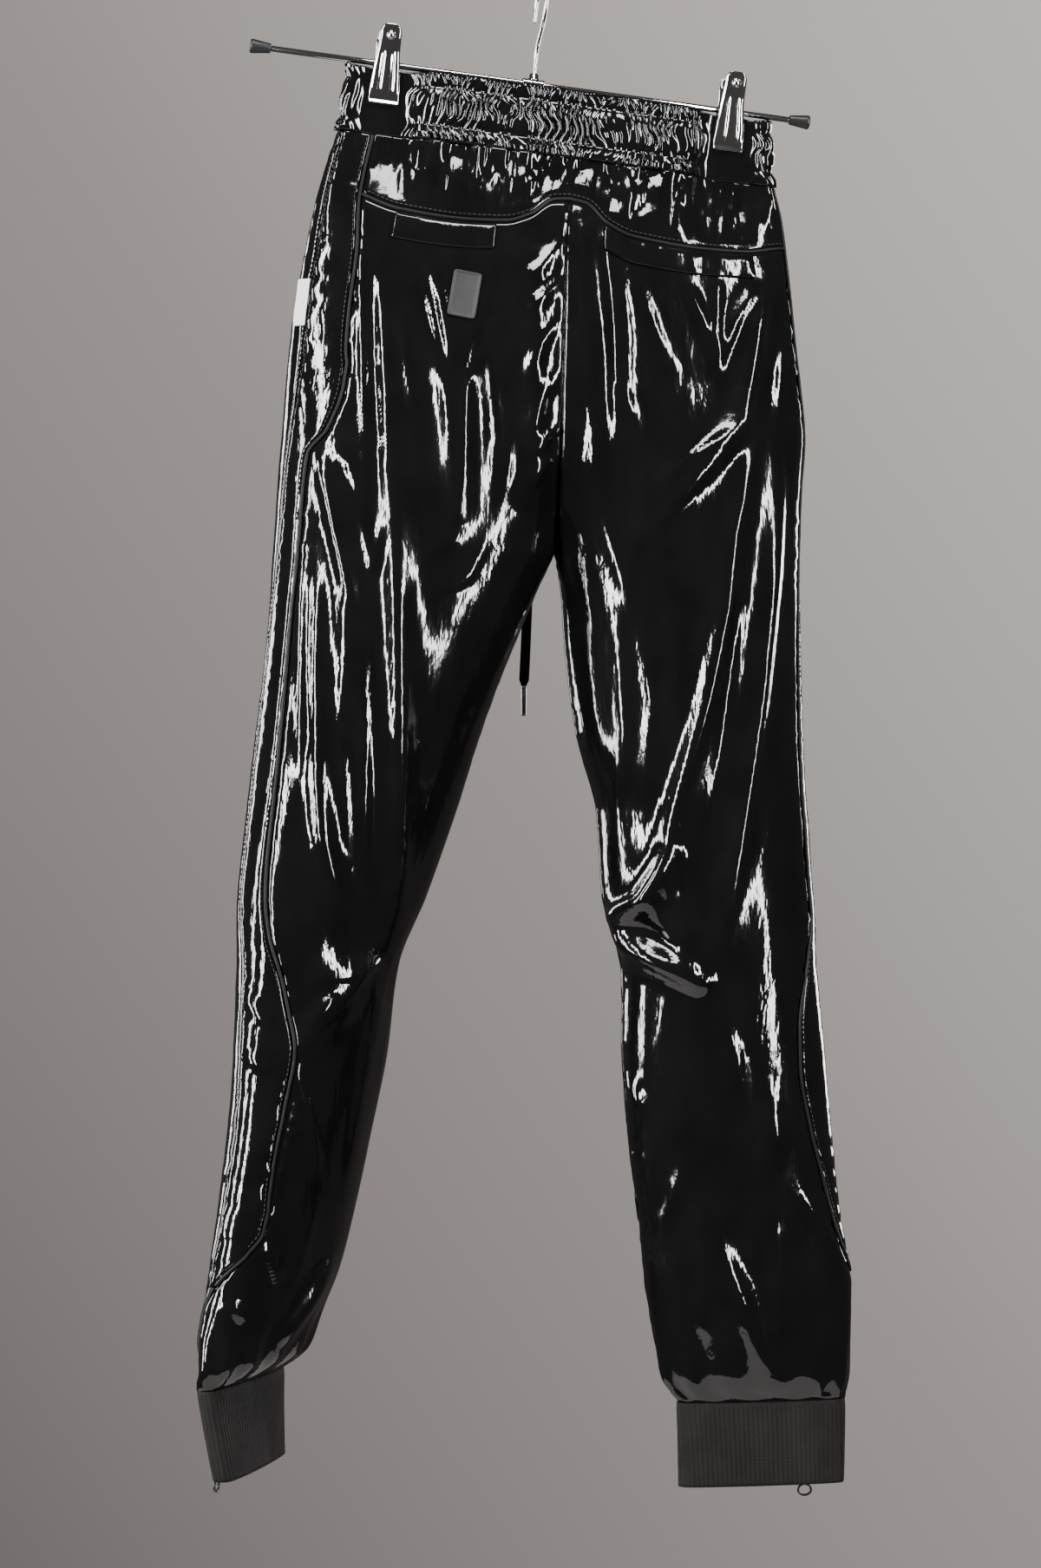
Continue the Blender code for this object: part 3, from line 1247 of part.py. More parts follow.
def jaw(side, face):
    """One sheet-metal half of a clip, as an open surface with a thickness."""
    sign = -1 if face == "back" else 1
    place = hanger_matrix(CLIP_PLACES[side], -BAR_DROP)
    outer, inner = [], []
    for row in JAW:
        half = (CLIP_WIDTH_TOP + (CLIP_WIDTH_JAW - CLIP_WIDTH_TOP) * row.spread) / 2
        for ridge in RIDGES:
            x = ridge.share * half
            y = sign * (row.y + ridge.rise)
            inner.append(place @ Vector((x, y, row.z)))
            outer.append(place @ Vector((x, y + sign * SHEET, row.z)))
    shape = (len(JAW), len(RIDGES), 3)
    return wall(
        f"clip_{side}_{face}", np.array(outer).reshape(shape), np.array(inner).reshape(shape), "chrome", 30
    )


def clip_spring(side):
    """The coil round the bar that both halves turn on, as one turned sleeve."""
    name = f"clip_spring_{side}"
    data = bpy.data.meshes.new(name)
    inside, outside, half = BAR_RADIUS + 0.3 * MM, 3.8 * MM, 5.5 * MM
    profile = ((outside, half - 1 * MM), (outside, 1 * MM - half), (inside, -half), (inside, half))
    data.from_pydata([(r, 0.0, h) for r, h in profile], [(0, 1), (1, 2), (2, 3), (3, 0)], [])
    sleeve = keep(bpy.data.objects.new(name, data), "chrome")
    turn = sleeve.modifiers.new("turn", "SCREW")
    turn.steps = turn.render_steps = 14
    turn.use_merge_vertices = True
    turn.merge_threshold = 0.00001
    sleeve.matrix_world = hanger_matrix(CLIP_PLACES[side], -BAR_DROP) @ Matrix.Rotation(math.pi / 2, 4, "Y")
    return sleeve


def clip_rivet(side):
    """The round rivet head on the camera side of a clip's handle."""
    mesh = bmesh.new()
    bmesh.ops.create_uvsphere(mesh, u_segments=10, v_segments=6, radius=3.4 * MM)
    bmesh.ops.transform(mesh, matrix=Matrix.Diagonal((1.0, 0.5, 1.0, 1.0)), verts=mesh.verts)
    where = hanger_matrix(CLIP_PLACES[side], -BAR_DROP + 0.0190)
    out = -(0.0108 + SHEET + 0.3 * MM + 1.9 * MM)
    bmesh.ops.transform(mesh, matrix=where @ Matrix.Translation((0, out, 0)), verts=mesh.verts)
    return from_bmesh(f"clip_rivet_{side}", mesh, "chrome")


# ---------------------------------------------------------------- the whole

def main():
    waistband()
    back_yoke()
    yoke_piping()
    for side in SIDES:
        back_panel(side)
        side_panel(side)
        front_panel(side)
        side_piping(side)
        cuff(side)
        zip_strip(side)
        slider(side)
        pull_tab(side)
        eyelet(side)
        drawstring(side)
        aglet(side)
        end_cap(side)
        clip_spring(side)
        clip_rivet(side)
        for face in ("back", "front"):
            jaw(side, face)
    for row in POCKETS:
        pocket_band(row)
    badge()
    side_label()
    hook()
    bar()
    bracket()


clear_scene()
TROUSERS = new_collection("vinyl_trousers")
HELPERS = new_collection("cutters")
main()
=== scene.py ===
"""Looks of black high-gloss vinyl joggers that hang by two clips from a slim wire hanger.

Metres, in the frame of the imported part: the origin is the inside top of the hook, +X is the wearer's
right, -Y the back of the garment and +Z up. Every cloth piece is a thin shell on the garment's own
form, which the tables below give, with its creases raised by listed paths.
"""

from __future__ import annotations

import logging
import math
from dataclasses import dataclass
from enum import Enum
from functools import cache
from typing import Sequence

import bmesh
import bpy
import numpy as np
from bpy.types import ID, Material, Node, NodeSocket, NodeTree, Object
from mathutils import Matrix, Vector


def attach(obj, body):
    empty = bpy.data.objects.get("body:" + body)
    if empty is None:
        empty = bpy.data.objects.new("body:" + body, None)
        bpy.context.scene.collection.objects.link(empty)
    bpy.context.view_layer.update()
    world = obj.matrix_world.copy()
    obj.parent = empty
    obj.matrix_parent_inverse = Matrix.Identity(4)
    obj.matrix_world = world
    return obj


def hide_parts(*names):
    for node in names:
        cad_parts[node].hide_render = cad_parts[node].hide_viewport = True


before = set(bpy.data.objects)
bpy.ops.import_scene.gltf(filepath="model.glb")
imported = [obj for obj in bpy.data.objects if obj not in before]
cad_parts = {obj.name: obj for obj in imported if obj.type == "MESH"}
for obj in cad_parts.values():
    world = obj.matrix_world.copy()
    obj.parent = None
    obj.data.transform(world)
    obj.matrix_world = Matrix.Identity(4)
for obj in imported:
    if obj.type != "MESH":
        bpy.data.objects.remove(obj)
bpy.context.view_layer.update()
LOG = logging.getLogger("vinyl_trousers")
MM = 0.001
Array = np.ndarray

# Cloth
CLOTH = 1.2 * MM
SEAM_GAP = 0.3 * MM
LAY_GAP = 0.3 * MM
EDGE_ROUND = 6.0 * MM
PIPING_RADIUS = 1.3 * MM
PIPING_SINK = 0.4 * MM
PIPING_ROOM = PIPING_RADIUS + SEAM_GAP

# Fine unevenness of the film, and how the creases fade towards their ends
SWELL = 0.5 * MM
RIPPLE = 0.18 * MM
BENT_LINE = 0.35 * MM
CREASE_TAPER = 0.6

# Waistband, from its top edge down
WAIST_TOP = -0.0868
WAIST_HEIGHT = 0.050
WAIST_GATHERS = 104
WAIST_WALL = 1.6 * MM
BODY_TOP = WAIST_TOP - WAIST_HEIGHT - SEAM_GAP
TOP_DIP_AT_CLIP = 2.0 * MM
GATHERED_AT_CLIP = 3.3 * MM

# Hanger
HANGER_TILT = math.radians(6)
BAR_DROP = 0.0838
BAR_LENGTH = 0.388
BAR_RADIUS = 2.15 * MM
WIRE_RADIUS = 1.5 * MM
HOOK_INSIDE_RADIUS = 0.025
CLIP_PLACES = {"left": -0.109, "right": 0.149}
CLIP_WIDTH_TOP = 0.0155
CLIP_WIDTH_JAW = 0.0220
CLIP_ABOVE = 0.0275
CLIP_BELOW = 0.030
SHEET = 0.9 * MM

# Torso
CROTCH_Z = -0.429
FORK_Z = -0.300
TILT_FULL_Z = -0.150
TILT_NONE_Z = -0.400
YOKE_SIDE_Z = -0.183
LEG_ROWS_FROM_Z = -0.262
PEAK_POWER = 1.35  # brings the columns closer at the peak of the yoke's lower edge

ZIP_TOP = {"left": -0.955, "right": -0.962}
CUFF_RIBS = 74
SIDES = {"left": -1, "right": 1}


class Face(Enum):
    """The side of the garment that a crease lies on."""

    BACK = -1.0
    FRONT = 1.0


@dataclass(frozen=True)
class TorsoRow:
    """One section of the torso: its outline from the back, its centre seam and its thickness."""

    z: float
    left_x: float
    right_x: float
    seam_x: float
    half_depth: float
    mid_y: float


@dataclass(frozen=True)
class LegRow:
    """One section of a leg. The turn in degrees brings the outer side round to the back."""

    z: float
    mid_x: float
    half_width: float
    half_depth: float
    turn: float = 0.0
    mid_y: float = 0.0


@dataclass(frozen=True)
class SeamRow:
    """Angles of the piped back seam and the topstitched front seam at one height."""

    z: float
    back: float
    front: float


@dataclass(frozen=True)
class YokeRow:
    """Drop of the yoke seam by the share of the way from the centre back to the side seam."""

    share: float
    drop: float


@dataclass(frozen=True)
class Crease:
    """A ridge along a path in the x-z plane. A negative height is a trough.

    The two widths are how far the cloth rises on the path's left and on its right, so a crease can
    be steep on one side.
    """

    face: Face
    width: float
    height: float
    path: tuple[tuple[float, float], ...]
    other_width: float


def creases(face: Face, *rows: tuple) -> tuple[Crease, ...]:
    """Creases on one side of the garment.

    Args:
        face: The side.
        rows: In millimetres, each crease's width, height, path as x and z in turn, and other width
            where it differs.

    Returns:
        The creases, in metres.
    """
    made = []
    for width, height, path, *other in rows:
        corners = [value / 1000 for value in path]
        pairs = tuple(zip(corners[::2], corners[1::2]))
        made.append(Crease(face, width / 1000, height / 1000, pairs, (other or [width])[0] / 1000))
    return tuple(made)


def table(kind: type, *rows: tuple) -> tuple:
    """Rows of one kind, each from its values in order."""
    return tuple(kind(*row) for row in rows)


TORSO = table(
    TorsoRow, (-0.087, -0.1455, 0.1690, 0.020, 0.0115, 0.000),
    (-0.112, -0.1480, 0.1695, 0.019, 0.0125, 0.000), (-0.137, -0.1530, 0.1725, 0.018, 0.0145, 0.000),
    (-0.160, -0.1605, 0.1780, 0.016, 0.0200, -0.001), (-0.190, -0.1690, 0.1820, 0.012, 0.0275, -0.002),
    (-0.225, -0.1770, 0.1855, 0.009, 0.0350, -0.003), (-0.262, -0.1850, 0.1885, 0.007, 0.0415, -0.004),
    (-0.300, -0.1900, 0.1925, 0.005, 0.0470, -0.004), (-0.340, -0.1935, 0.1950, 0.004, 0.0510, -0.004),
    (-0.380, -0.1970, 0.1925, 0.004, 0.0540, -0.003), (CROTCH_Z, -0.2000, 0.1910, 0.007, 0.0555, -0.002),
)
LEGS = {
    "left": table(
        LegRow, (-0.460, -0.1050, 0.0975, 0.056, 2, -0.002), (-0.500, -0.1150, 0.0915, 0.056, 6, -0.001),
        (-0.560, -0.1300, 0.0850, 0.054, 13), (-0.620, -0.1430, 0.0810, 0.051, 20),
        (-0.680, -0.1565, 0.0760, 0.047, 27), (-0.730, -0.1670, 0.0710, 0.043, 39),
        (-0.800, -0.1730, 0.0740, 0.040, 46), (-0.860, -0.1815, 0.0740, 0.037, 50),
        (-0.920, -0.1920, 0.0740, 0.033, 51), (-0.955, -0.1990, 0.0740, 0.030, 52),
        (-0.990, -0.2090, 0.0720, 0.026, 54), (-1.012, -0.2135, 0.0705, 0.022, 57),
        (-1.0285, -0.2235, 0.0625, 0.0112, 59),
    ),
    "right": table(
        LegRow, (-0.460, 0.1015, 0.0895, 0.056, 0, -0.002), (-0.500, 0.1035, 0.0885, 0.055, 0, -0.001),
        (-0.560, 0.1085, 0.0855, 0.053), (-0.620, 0.1180, 0.0795, 0.050), (-0.680, 0.1225, 0.0795, 0.048),
        (-0.735, 0.1310, 0.0735, 0.045), (-0.800, 0.1345, 0.0765, 0.042), (-0.860, 0.1395, 0.0770, 0.038),
        (-0.920, 0.1465, 0.0765, 0.034), (-0.962, 0.1525, 0.0785, 0.031), (-1.000, 0.1555, 0.0755, 0.028),
        (-1.035, 0.1585, 0.0720, 0.023), (-1.0545, 0.1630, 0.0640, 0.0112),
    ),
}
CUFFS = {
    "left": table(
        LegRow, (-1.0288, -0.2235, 0.0625, 0.0112, 59), (-1.0930, -0.2170, 0.0615, 0.0100, 65),
    ),
    "right": table(
        LegRow, (-1.0548, 0.1630, 0.0640, 0.0112), (-1.1170, 0.1630, 0.0625, 0.0100),
    ),
}
SIDE_SEAMS = {
    "left": table(
        SeamRow, (-0.137, 152, 175), (-0.180, 150, 171), (-0.230, 146, 167), (-0.290, 145, 165),
        (-0.325, 141, 165), (-0.345, 143, 166), (-0.362, 151, 167), (-0.420, 150, 168), (-0.500, 153, 177),
        (-0.580, 155, 181), (-0.660, 158, 184), (-0.705, 157, 186), (-0.745, 147, 187), (-0.790, 139, 188),
        (-0.830, 144, 189), (-0.865, 147, 190), (-0.915, 145, 191), (-0.932, 157, 192), (-0.945, 174, 193),
        (-0.955, 185, 195), (-0.980, 201, 210), (-1.005, 217, 226), (-1.0285, 230, 238), (-1.093, 232, 241),
    ),
    "right": table(
        SeamRow, (-0.137, 178, 200), (-0.200, 174, 198), (-0.300, 172, 196), (-0.420, 165, 190),
        (-0.520, 160, 186), (-0.620, 157, 184), (-0.690, 158, 184), (-0.730, 148, 184), (-0.775, 135, 185),
        (-0.810, 133, 187), (-0.850, 138, 190), (-0.890, 147, 190), (-0.930, 158, 189), (-0.950, 168, 189),
        (-0.962, 179, 190), (-0.990, 193, 203), (-1.020, 209, 218), (-1.0545, 224, 232), (-1.117, 227, 236),
    ),
}
YOKE_EDGE = table(
    YokeRow, (0.00, -0.0140), (0.08, -0.0120), (0.18, 0.0010), (0.30, 0.0085), (0.55, 0.0110), (0.80, 0.0085),
    (1.00, 0.0000),
)


# ---- creases

# The largest folds, which the solids have too.
FOLDS = creases(
    Face.BACK,
    (11, 6, (-74, -268, -72, -340, -70, -416)), (9, 5, (26, -180, 34, -290, 32, -390)),
    (10, 5, (-12, -215, -17, -320, -14, -404)), (12, 6, (160, -225, 137, -330, 75, -400)),
    (10, 5, (147, -335, 124, -470, 96, -595, 74, -685)),
    (10, 4.5, (162, -330, 160, -445, 143, -600, 116, -740)), (10, 8, (44, -702, 70, -682, 92, -640)),
    (10, 8, (44, -702, 72, -724, 117, -745)), (13, 6, (-116, -365, -114, -560, -113, -726)),
    (9, 4.5, (-167, -360, -152, -435, -150, -560)), (10, 4.5, (-174, -565, -168, -640, -153, -700)),
    (12, 5, (-125, -722, -160, -762, -188, -795)), (13, 5, (-155, -945, -178, -975, -196, -1005)),
    (10, 4, (118, -920, 140, -970, 162, -1035)),
) + creases(
    Face.FRONT,
    (12, 5, (90, -190, 84, -300, 74, -400)), (12, 5, (-80, -180, -88, -300, -80, -420)),
    (12, 5, (110, -450, 118, -580, 124, -700)), (12, 5, (-130, -450, -165, -600, -170, -740)),
    (12, 6, (62, -730, 100, -712, 150, -735)), (12, 5, (110, -860, 150, -930, 165, -1010)),
)
# Left half of the seat: the funnel below the pocket, and the folds beside the two seams.
LEFT_SEAT = creases(
    Face.BACK,
    (4, 2.6, (-110, -219, -94, -264, -81, -315, -75, -421), 10),
    (10, 2.4, (-28, -218, -43, -264, -65, -315, -74, -421), 4), (4, 2, (-90, -213, -82, -245, -77, -300)),
    (3, -1.6, (-99, -213, -89, -250, -80, -290)), (4, 1.4, (-60, -262, -66, -300, -70, -350)),
    (4, 1.2, (-45, -220, -54, -250, -61, -280)), (4, 2.4, (-92, -429, -83, -427, -73, -420)),
    (6, 1.6, (-90, -463, -64, -448, -49, -418), 4), (3, 1.6, (-139, -205, -139, -283, -138, -384)),
    (4, 2.2, (-125, -208, -122, -296, -120, -400), 7), (4, -1.6, (-132, -225, -131, -300, -130, -390)),
    (4, 3, (-141, -405, -134, -442, -127, -410)), (4, 2.6, (-170, -367, -156, -437, -145, -475)),
    (4, 2, (-163, -352, -150, -366, -141, -392)), (5, 2.2, (5, -205, -8, -222, -20, -232)),
    (5, 2.6, (5, -232, -10, -248, -21, -256)), (4, 2.2, (4, -262, -10, -280, -19, -300)),
    (5, 2.6, (2, -300, -12, -322, -21, -346)), (4, 2, (1, -338, -10, -352, -22, -362)),
    (6, 3.2, (0, -362, -14, -371, -26, -389, -4, -408)), (4, -1.6, (-48, -290, -43, -345, -48, -392)),
    (5, 1.8, (-40, -300, -34, -345, -40, -400)), (5, 1.6, (-104, -300, -102, -360, -96, -410)),
    (4, 1.4, (-112, -240, -108, -290, -103, -330)),
)
# Right half of the seat: the three folds that meet, and the long one to the crotch.
RIGHT_SEAT = creases(
    Face.BACK,
    (4, 2.8, (20, -180, 22, -240, 25, -320, 29, -384), 8), (4, -1.8, (40, -200, 44, -260, 42, -330)),
    (5, 1.8, (50, -215, 53, -275, 50, -340)), (6, 3.2, (98, -231, 108, -253, 121, -290), 4),
    (4, 2.8, (124, -226, 121, -259, 121, -292)), (4, 3.4, (152, -232, 136, -258, 121, -292), 7),
    (5, 3.6, (164, -222, 150, -277, 138, -338), 8), (7, 3.4, (138, -335, 106, -357, 71, -381), 4),
    (4, 3, (138, -345, 103, -376, 72, -414), 8), (5, -2, (120, -352, 95, -366, 78, -386)),
    (5, 2.2, (176, -262, 172, -295, 167, -335)), (5, 1.6, (62, -230, 74, -268, 88, -300)),
    (5, 1.4, (40, -300, 56, -330, 62, -360)), (6, 2, (29, -384, 40, -420, 58, -470)),
)
# Left leg, from the thigh to the ankle.
LEFT_LEG = creases(
    Face.BACK,
    (5, 2.4, (-137, -465, -141, -527, -139, -600, -141, -640)),
    (6, 2.6, (-172, -443, -174, -521, -172, -595), 4), (6, 2.8, (-175, -571, -172, -632, -158, -700), 4),
    (4, 1.8, (-155, -520, -156, -580, -150, -650)), (3, 1.6, (-182, -420, -184, -500, -186, -590)),
    (4, 2, (-142, -571, -140, -633, -135, -700)),
    (8, 3.4, (-120, -380, -119, -472, -117, -595, -119, -720), 4),
    (6, 4, (-126, -722, -151, -733, -180, -738), 10), (4, 4, (-182, -768, -172, -757, -162, -746)),
    (4, 3.8, (-129, -724, -162, -756, -194, -793), 12), (10, 2.6, (-126, -730, -137, -808, -150, -900), 4),
    (4, 2, (-192, -795, -180, -830, -170, -880)), (4, 2.2, (-218, -880, -215, -896, -210, -911)),
    (5, 2.6, (-213, -924, -205, -939, -199, -955)), (7, 4, (-157, -938, -176, -968, -199, -1002), 4),
    (5, 2.4, (-240, -963, -233, -970, -225, -978)), (5, -2, (-170, -940, -190, -972, -210, -1000)),
    (5, 2.2, (-226, -748, -216, -760, -207, -770)), (5, 2.2, (-224, -788, -216, -796, -206, -800)),
    (6, 1.8, (-172, -900, -182, -930, -188, -960)),
)
# Right leg: two long folds from the hip to the knee, the knee's wedge and the soft folds below it.
RIGHT_LEG = creases(
    Face.BACK,
    (4, 3.2, (151, -342, 129, -416, 123, -472, 111, -536, 94, -595, 86, -631, 71, -682), 8),
    (4, 3.2, (167, -341, 169, -382, 162, -447, 152, -536, 142, -595, 130, -682, 115, -742), 8),
    (4, -2, (140, -400, 134, -470, 124, -560, 110, -640)), (3, 1.4, (138, -430, 134, -500, 126, -570)),
    (5, 5.2, (36, -701, 67, -680, 88, -640), 10), (10, 5.2, (36, -701, 68, -722, 104, -746, 116, -742), 4),
    (6, 3.6, (67, -682, 92, -712, 104, -737)), (5, 2.6, (80, -655, 90, -690, 108, -724)),
    (6, -3, (58, -702, 78, -708, 96, -722)), (8, 3.4, (163, -825, 165, -856, 156, -895), 12),
    (5, 1.6, (151, -915, 150, -935, 146, -950)), (6, 2.6, (186, -895, 205, -928, 220, -958)),
    (6, 2.6, (57, -811, 63, -824, 70, -842)), (7, 3.4, (80, -942, 125, -1002, 148, -1040), 12),
    (7, 3, (112, -914, 137, -974, 162, -1036), 12), (6, 2.4, (166, -915, 168, -971, 166, -1028)),
    (6, 2.2, (100, -870, 92, -900, 82, -940)), (7, 2.6, (120, -762, 134, -800, 140, -840), 12),
    (6, 2, (60, -470, 72, -540, 66, -620)), (5, 1.6, (46, -480, 52, -560, 48, -640)),
    (6, 1.8, (90, -460, 88, -520, 78, -580)),
)
# The hidden front, with folds of the same kind.
FRONT = creases(
    Face.FRONT,
    (5, 2.8, (-60, -150, -70, -230, -66, -310)), (4, 2.4, (-110, -150, -112, -220, -104, -300), 8),
    (5, 2.6, (60, -160, 58, -240, 48, -330)), (4, 2.4, (120, -160, 122, -240, 110, -340), 8),
    (6, 3.6, (8, -405, 50, -380, 100, -330)), (6, 3.6, (-2, -405, -45, -385, -100, -330)),
    (5, 2.8, (12, -420, 50, -412, 90, -386), 9), (5, 2.8, (-6, -420, -50, -415, -95, -392), 9),
    (5, 2.6, (78, -450, 84, -540, 86, -640), 9), (5, 2.8, (140, -440, 146, -550, 140, -690)),
    (5, 2.6, (-90, -450, -112, -560, -130, -690), 9), (5, 2.6, (-160, -430, -186, -560, -190, -680)),
    (7, 4, (70, -742, 110, -748, 160, -730), 4), (6, 3.4, (80, -776, 120, -770, 170, -790)),
    (7, 4, (-140, -735, -175, -745, -205, -730), 4), (6, 3, (-150, -800, -185, -790, -215, -820)),
    (6, 2.8, (100, -840, 104, -900, 112, -980)), (6, 2.8, (170, -860, 176, -920, 178, -1010)),
    (6, 2.8, (-180, -850, -196, -920, -214, -990)), (6, 2.6, (-215, -880, -226, -940, -232, -1000)),
)
CREASES = FOLDS + LEFT_SEAT + RIGHT_SEAT + LEFT_LEG + RIGHT_LEG + FRONT

# Widths that the panels' columns are spaced over
BACK_ACROSS = {"left": 0.215, "right": 0.205}
FRONT_ACROSS = 0.190


# ---- the garment's form

def run_along(path: Array) -> Array:
    """Distance along a path at each of its points."""
    return np.concatenate([[0.0], np.cumsum(np.linalg.norm(np.diff(path, axis=0), axis=1))])


def at_run(path: Array, run: Array, places: Array | float) -> Array:
    """Points at the given distances along a path."""
    return np.stack([np.interp(places, run, path[:, axis]) for axis in range(3)], axis=-1)


def unit(vectors: Array) -> Array:
    """The vectors at a length of one."""
    return vectors / np.linalg.norm(vectors, axis=-1, keepdims=True)


def smooth_step(value: Array, low: float, high: float) -> Array:
    """A smooth change from 0 at low to 1 at high."""
    share = np.clip((value - low) / (high - low), 0.0, 1.0)
    return share * share * (3 - 2 * share)


def column(rows: Sequence, key: str, name: str, where: Array) -> Array:
    """A table's column at the given places, on a smooth curve through its rows.

    Args:
        rows: The table.
        key: The field that the rows are ordered by.
        name: The field to read.
        where: Values of the key.

    Returns:
        The field's value at each place.
    """
    keys = np.array([getattr(row, key) for row in rows], float)
    values = np.array([getattr(row, name) for row in rows], float)
    order = np.argsort(keys)
    keys, values = keys[order], values[order]
    if len(keys) == 2:
        return np.interp(where, keys, values)
    steps = np.diff(values) / np.diff(keys)
    both = steps[:-1] * steps[1:]
    level = np.where(both > 0, 2 * both / np.where(both > 0, steps[:-1] + steps[1:], 1.0), 0.0)
    slopes = np.concatenate([steps[:1], level, steps[-1:]])
    where = np.clip(where, keys[0], keys[-1])
    after = np.clip(np.searchsorted(keys, where, side="right"), 1, len(keys) - 1)
    span = keys[after] - keys[after - 1]
    s = (where - keys[after - 1]) / span
    return (
        (2 * s**3 - 3 * s**2 + 1) * values[after - 1]
        + (s**3 - 2 * s**2 + s) * span * slopes[after - 1]
        + (3 * s**2 - 2 * s**3) * values[after]
        + (s**3 - s**2) * span * slopes[after]
    )


def lattice_noise(points: Array, size: Sequence[float], seed: int) -> Array:
    """Smooth random values between -1 and 1.

    Args:
        points: Places, of shape (..., 3).
        size: The lattice's cell in metres, along x, y and z.
        seed: Which of the random fields to read.

    Returns:
        One value for each place.
    """
    place = points / np.array(size)
    cell = np.floor(place).astype(np.int64)
    inside = place - cell
    soft = inside * inside * (3 - 2 * inside)
    total = np.zeros(points.shape[:-1])
    for corner in range(8):
        bits = np.array([corner & 1, corner >> 1 & 1, corner >> 2 & 1])
        at = cell + bits
        mixed = at[..., 0] * 73856093 ^ at[..., 1] * 19349663 ^ at[..., 2] * 83492791 ^ seed * 2654435761
        mixed = (mixed & 0xFFFFFFFF) * 2246822519 & 0xFFFFFFFF
        mixed = (mixed ^ mixed >> 15) * 3266489917 & 0xFFFFFFFF
        value = (mixed ^ mixed >> 13) / 0xFFFFFFFF * 2 - 1
        total += value * np.prod(np.where(bits, soft, 1 - soft), axis=-1)
    return total


def crotch_row(side: str) -> LegRow:
    """The leg's first section, which the torso's last row gives."""
    last = TORSO[-1]
    outer = last.right_x if side == "right" else last.left_x
    inner = last.seam_x + SIDES[side] * SEAM_GAP / 2
    return LegRow(CROTCH_Z, (outer + inner) / 2, abs(outer - inner) / 2, last.half_depth, 0, last.mid_y)


def edge_cosine(z: Array) -> Array:
    """Cosine of the angle at which a torso section begins: 0 high up, and 1 at the crotch."""
    return 1 - np.clip((z - CROTCH_Z) / (FORK_Z - CROTCH_Z), 0.0, 1.0) ** 1.6


def torso_section(side: str, z: Array) -> tuple[Array, ...]:
    """Middle x, middle y, half width, half depth and turn of the sections above the crotch."""
    sign = SIDES[side]
    outer = column(TORSO, "z", "right_x" if side == "right" else "left_x", z)
    inner = column(TORSO, "z", "seam_x", z) + sign * SEAM_GAP / 2
    half_depth = column(TORSO, "z", "half_depth", z)
    cosine = edge_cosine(z)
    sine = np.sqrt(1 - cosine**2)
    width = sign * (outer - inner)
    half_width = width / (1 + cosine)
    core_depth = half_depth - EDGE_ROUND
    for _ in range(4):
        core_width = half_width - EDGE_ROUND
        across = core_depth * cosine / np.hypot(core_depth * cosine, core_width * sine)
        half_width = (width + EDGE_ROUND * (cosine - across)) / (1 + cosine)
    mid_y = column(TORSO, "z", "mid_y", z)
    return outer - sign * half_width, mid_y, half_width, half_depth, np.zeros_like(z)


def leg_section(rows: Sequence[LegRow], z: Array) -> tuple[Array, ...]:
    """The same values of a leg's or a cuff's sections."""
    names = ("mid_x", "mid_y", "half_width", "half_depth", "turn")
    return tuple(column(rows, "z", name, z) for name in names)


def section(side: str, z: Array, cuff: bool = False) -> tuple[Array, ...]:
    """The section of the torso, the leg or the cuff at each height."""
    if cuff:
        return leg_section(CUFFS[side], z)
    above = torso_section(side, np.maximum(z, CROTCH_Z))
    below = leg_section((crotch_row(side), *LEGS[side]), np.minimum(z, CROTCH_Z))
    return tuple(np.where(z >= CROTCH_Z, high, low) for high, low in zip(above, below))


def near_path(path: Sequence, x: Array, z: Array) -> tuple[Array, Array, Array]:
    """Where points lie beside a path in the x-z plane.

    Args:
        path: The path's corners.
        x: The points' x.
        z: The points' z.

    Returns:
        The distance, the share of the path's length at the nearest point, and the side of the path.
    """
    corners = np.array(path)
    lengths = np.linalg.norm(np.diff(corners, axis=0), axis=1)
    best = np.full(np.shape(x), np.inf)
    share = np.zeros(np.shape(x))
    hand = np.zeros(np.shape(x))
    run = 0.0
    for start, end, length in zip(corners[:-1], corners[1:], lengths):
        step = (end - start) / length
        off_x, off_z = x - start[0], z - start[1]
        along = np.clip(off_x * step[0] + off_z * step[1], 0.0, length)
        distance = np.hypot(off_x - along * step[0], off_z - along * step[1])
        nearer = distance < best
        best = np.where(nearer, distance, best)
        share = np.where(nearer, (run + along) / lengths.sum(), share)
        hand = np.where(nearer, np.sign(off_z * step[0] - off_x * step[1]), hand)
        run += length
    return best, share, hand


def clip_pinch(x: Array, z: Array) -> Array:
    """How much of its full squeeze the cloth has between a clip's jaws: 1 there, 0 far away."""
    total = np.zeros(np.shape(x))
    for place in CLIP_PLACES.values():
        bar_x = place * math.cos(HANGER_TILT) - BAR_DROP * math.sin(HANGER_TILT)
        bar_z = -place * math.sin(HANGER_TILT) - BAR_DROP * math.cos(HANGER_TILT)
        across = np.abs(x - bar_x - (z - bar_z) * math.tan(HANGER_TILT))
        beside = 1 - smooth_step(across, 0.55 * CLIP_WIDTH_JAW, 0.55 * CLIP_WIDTH_JAW + 0.022)
        below = 1 - smooth_step(bar_z - z, CLIP_BELOW + 0.002, CLIP_BELOW + 0.085)
        total = np.maximum(total, beside * below)
    return total


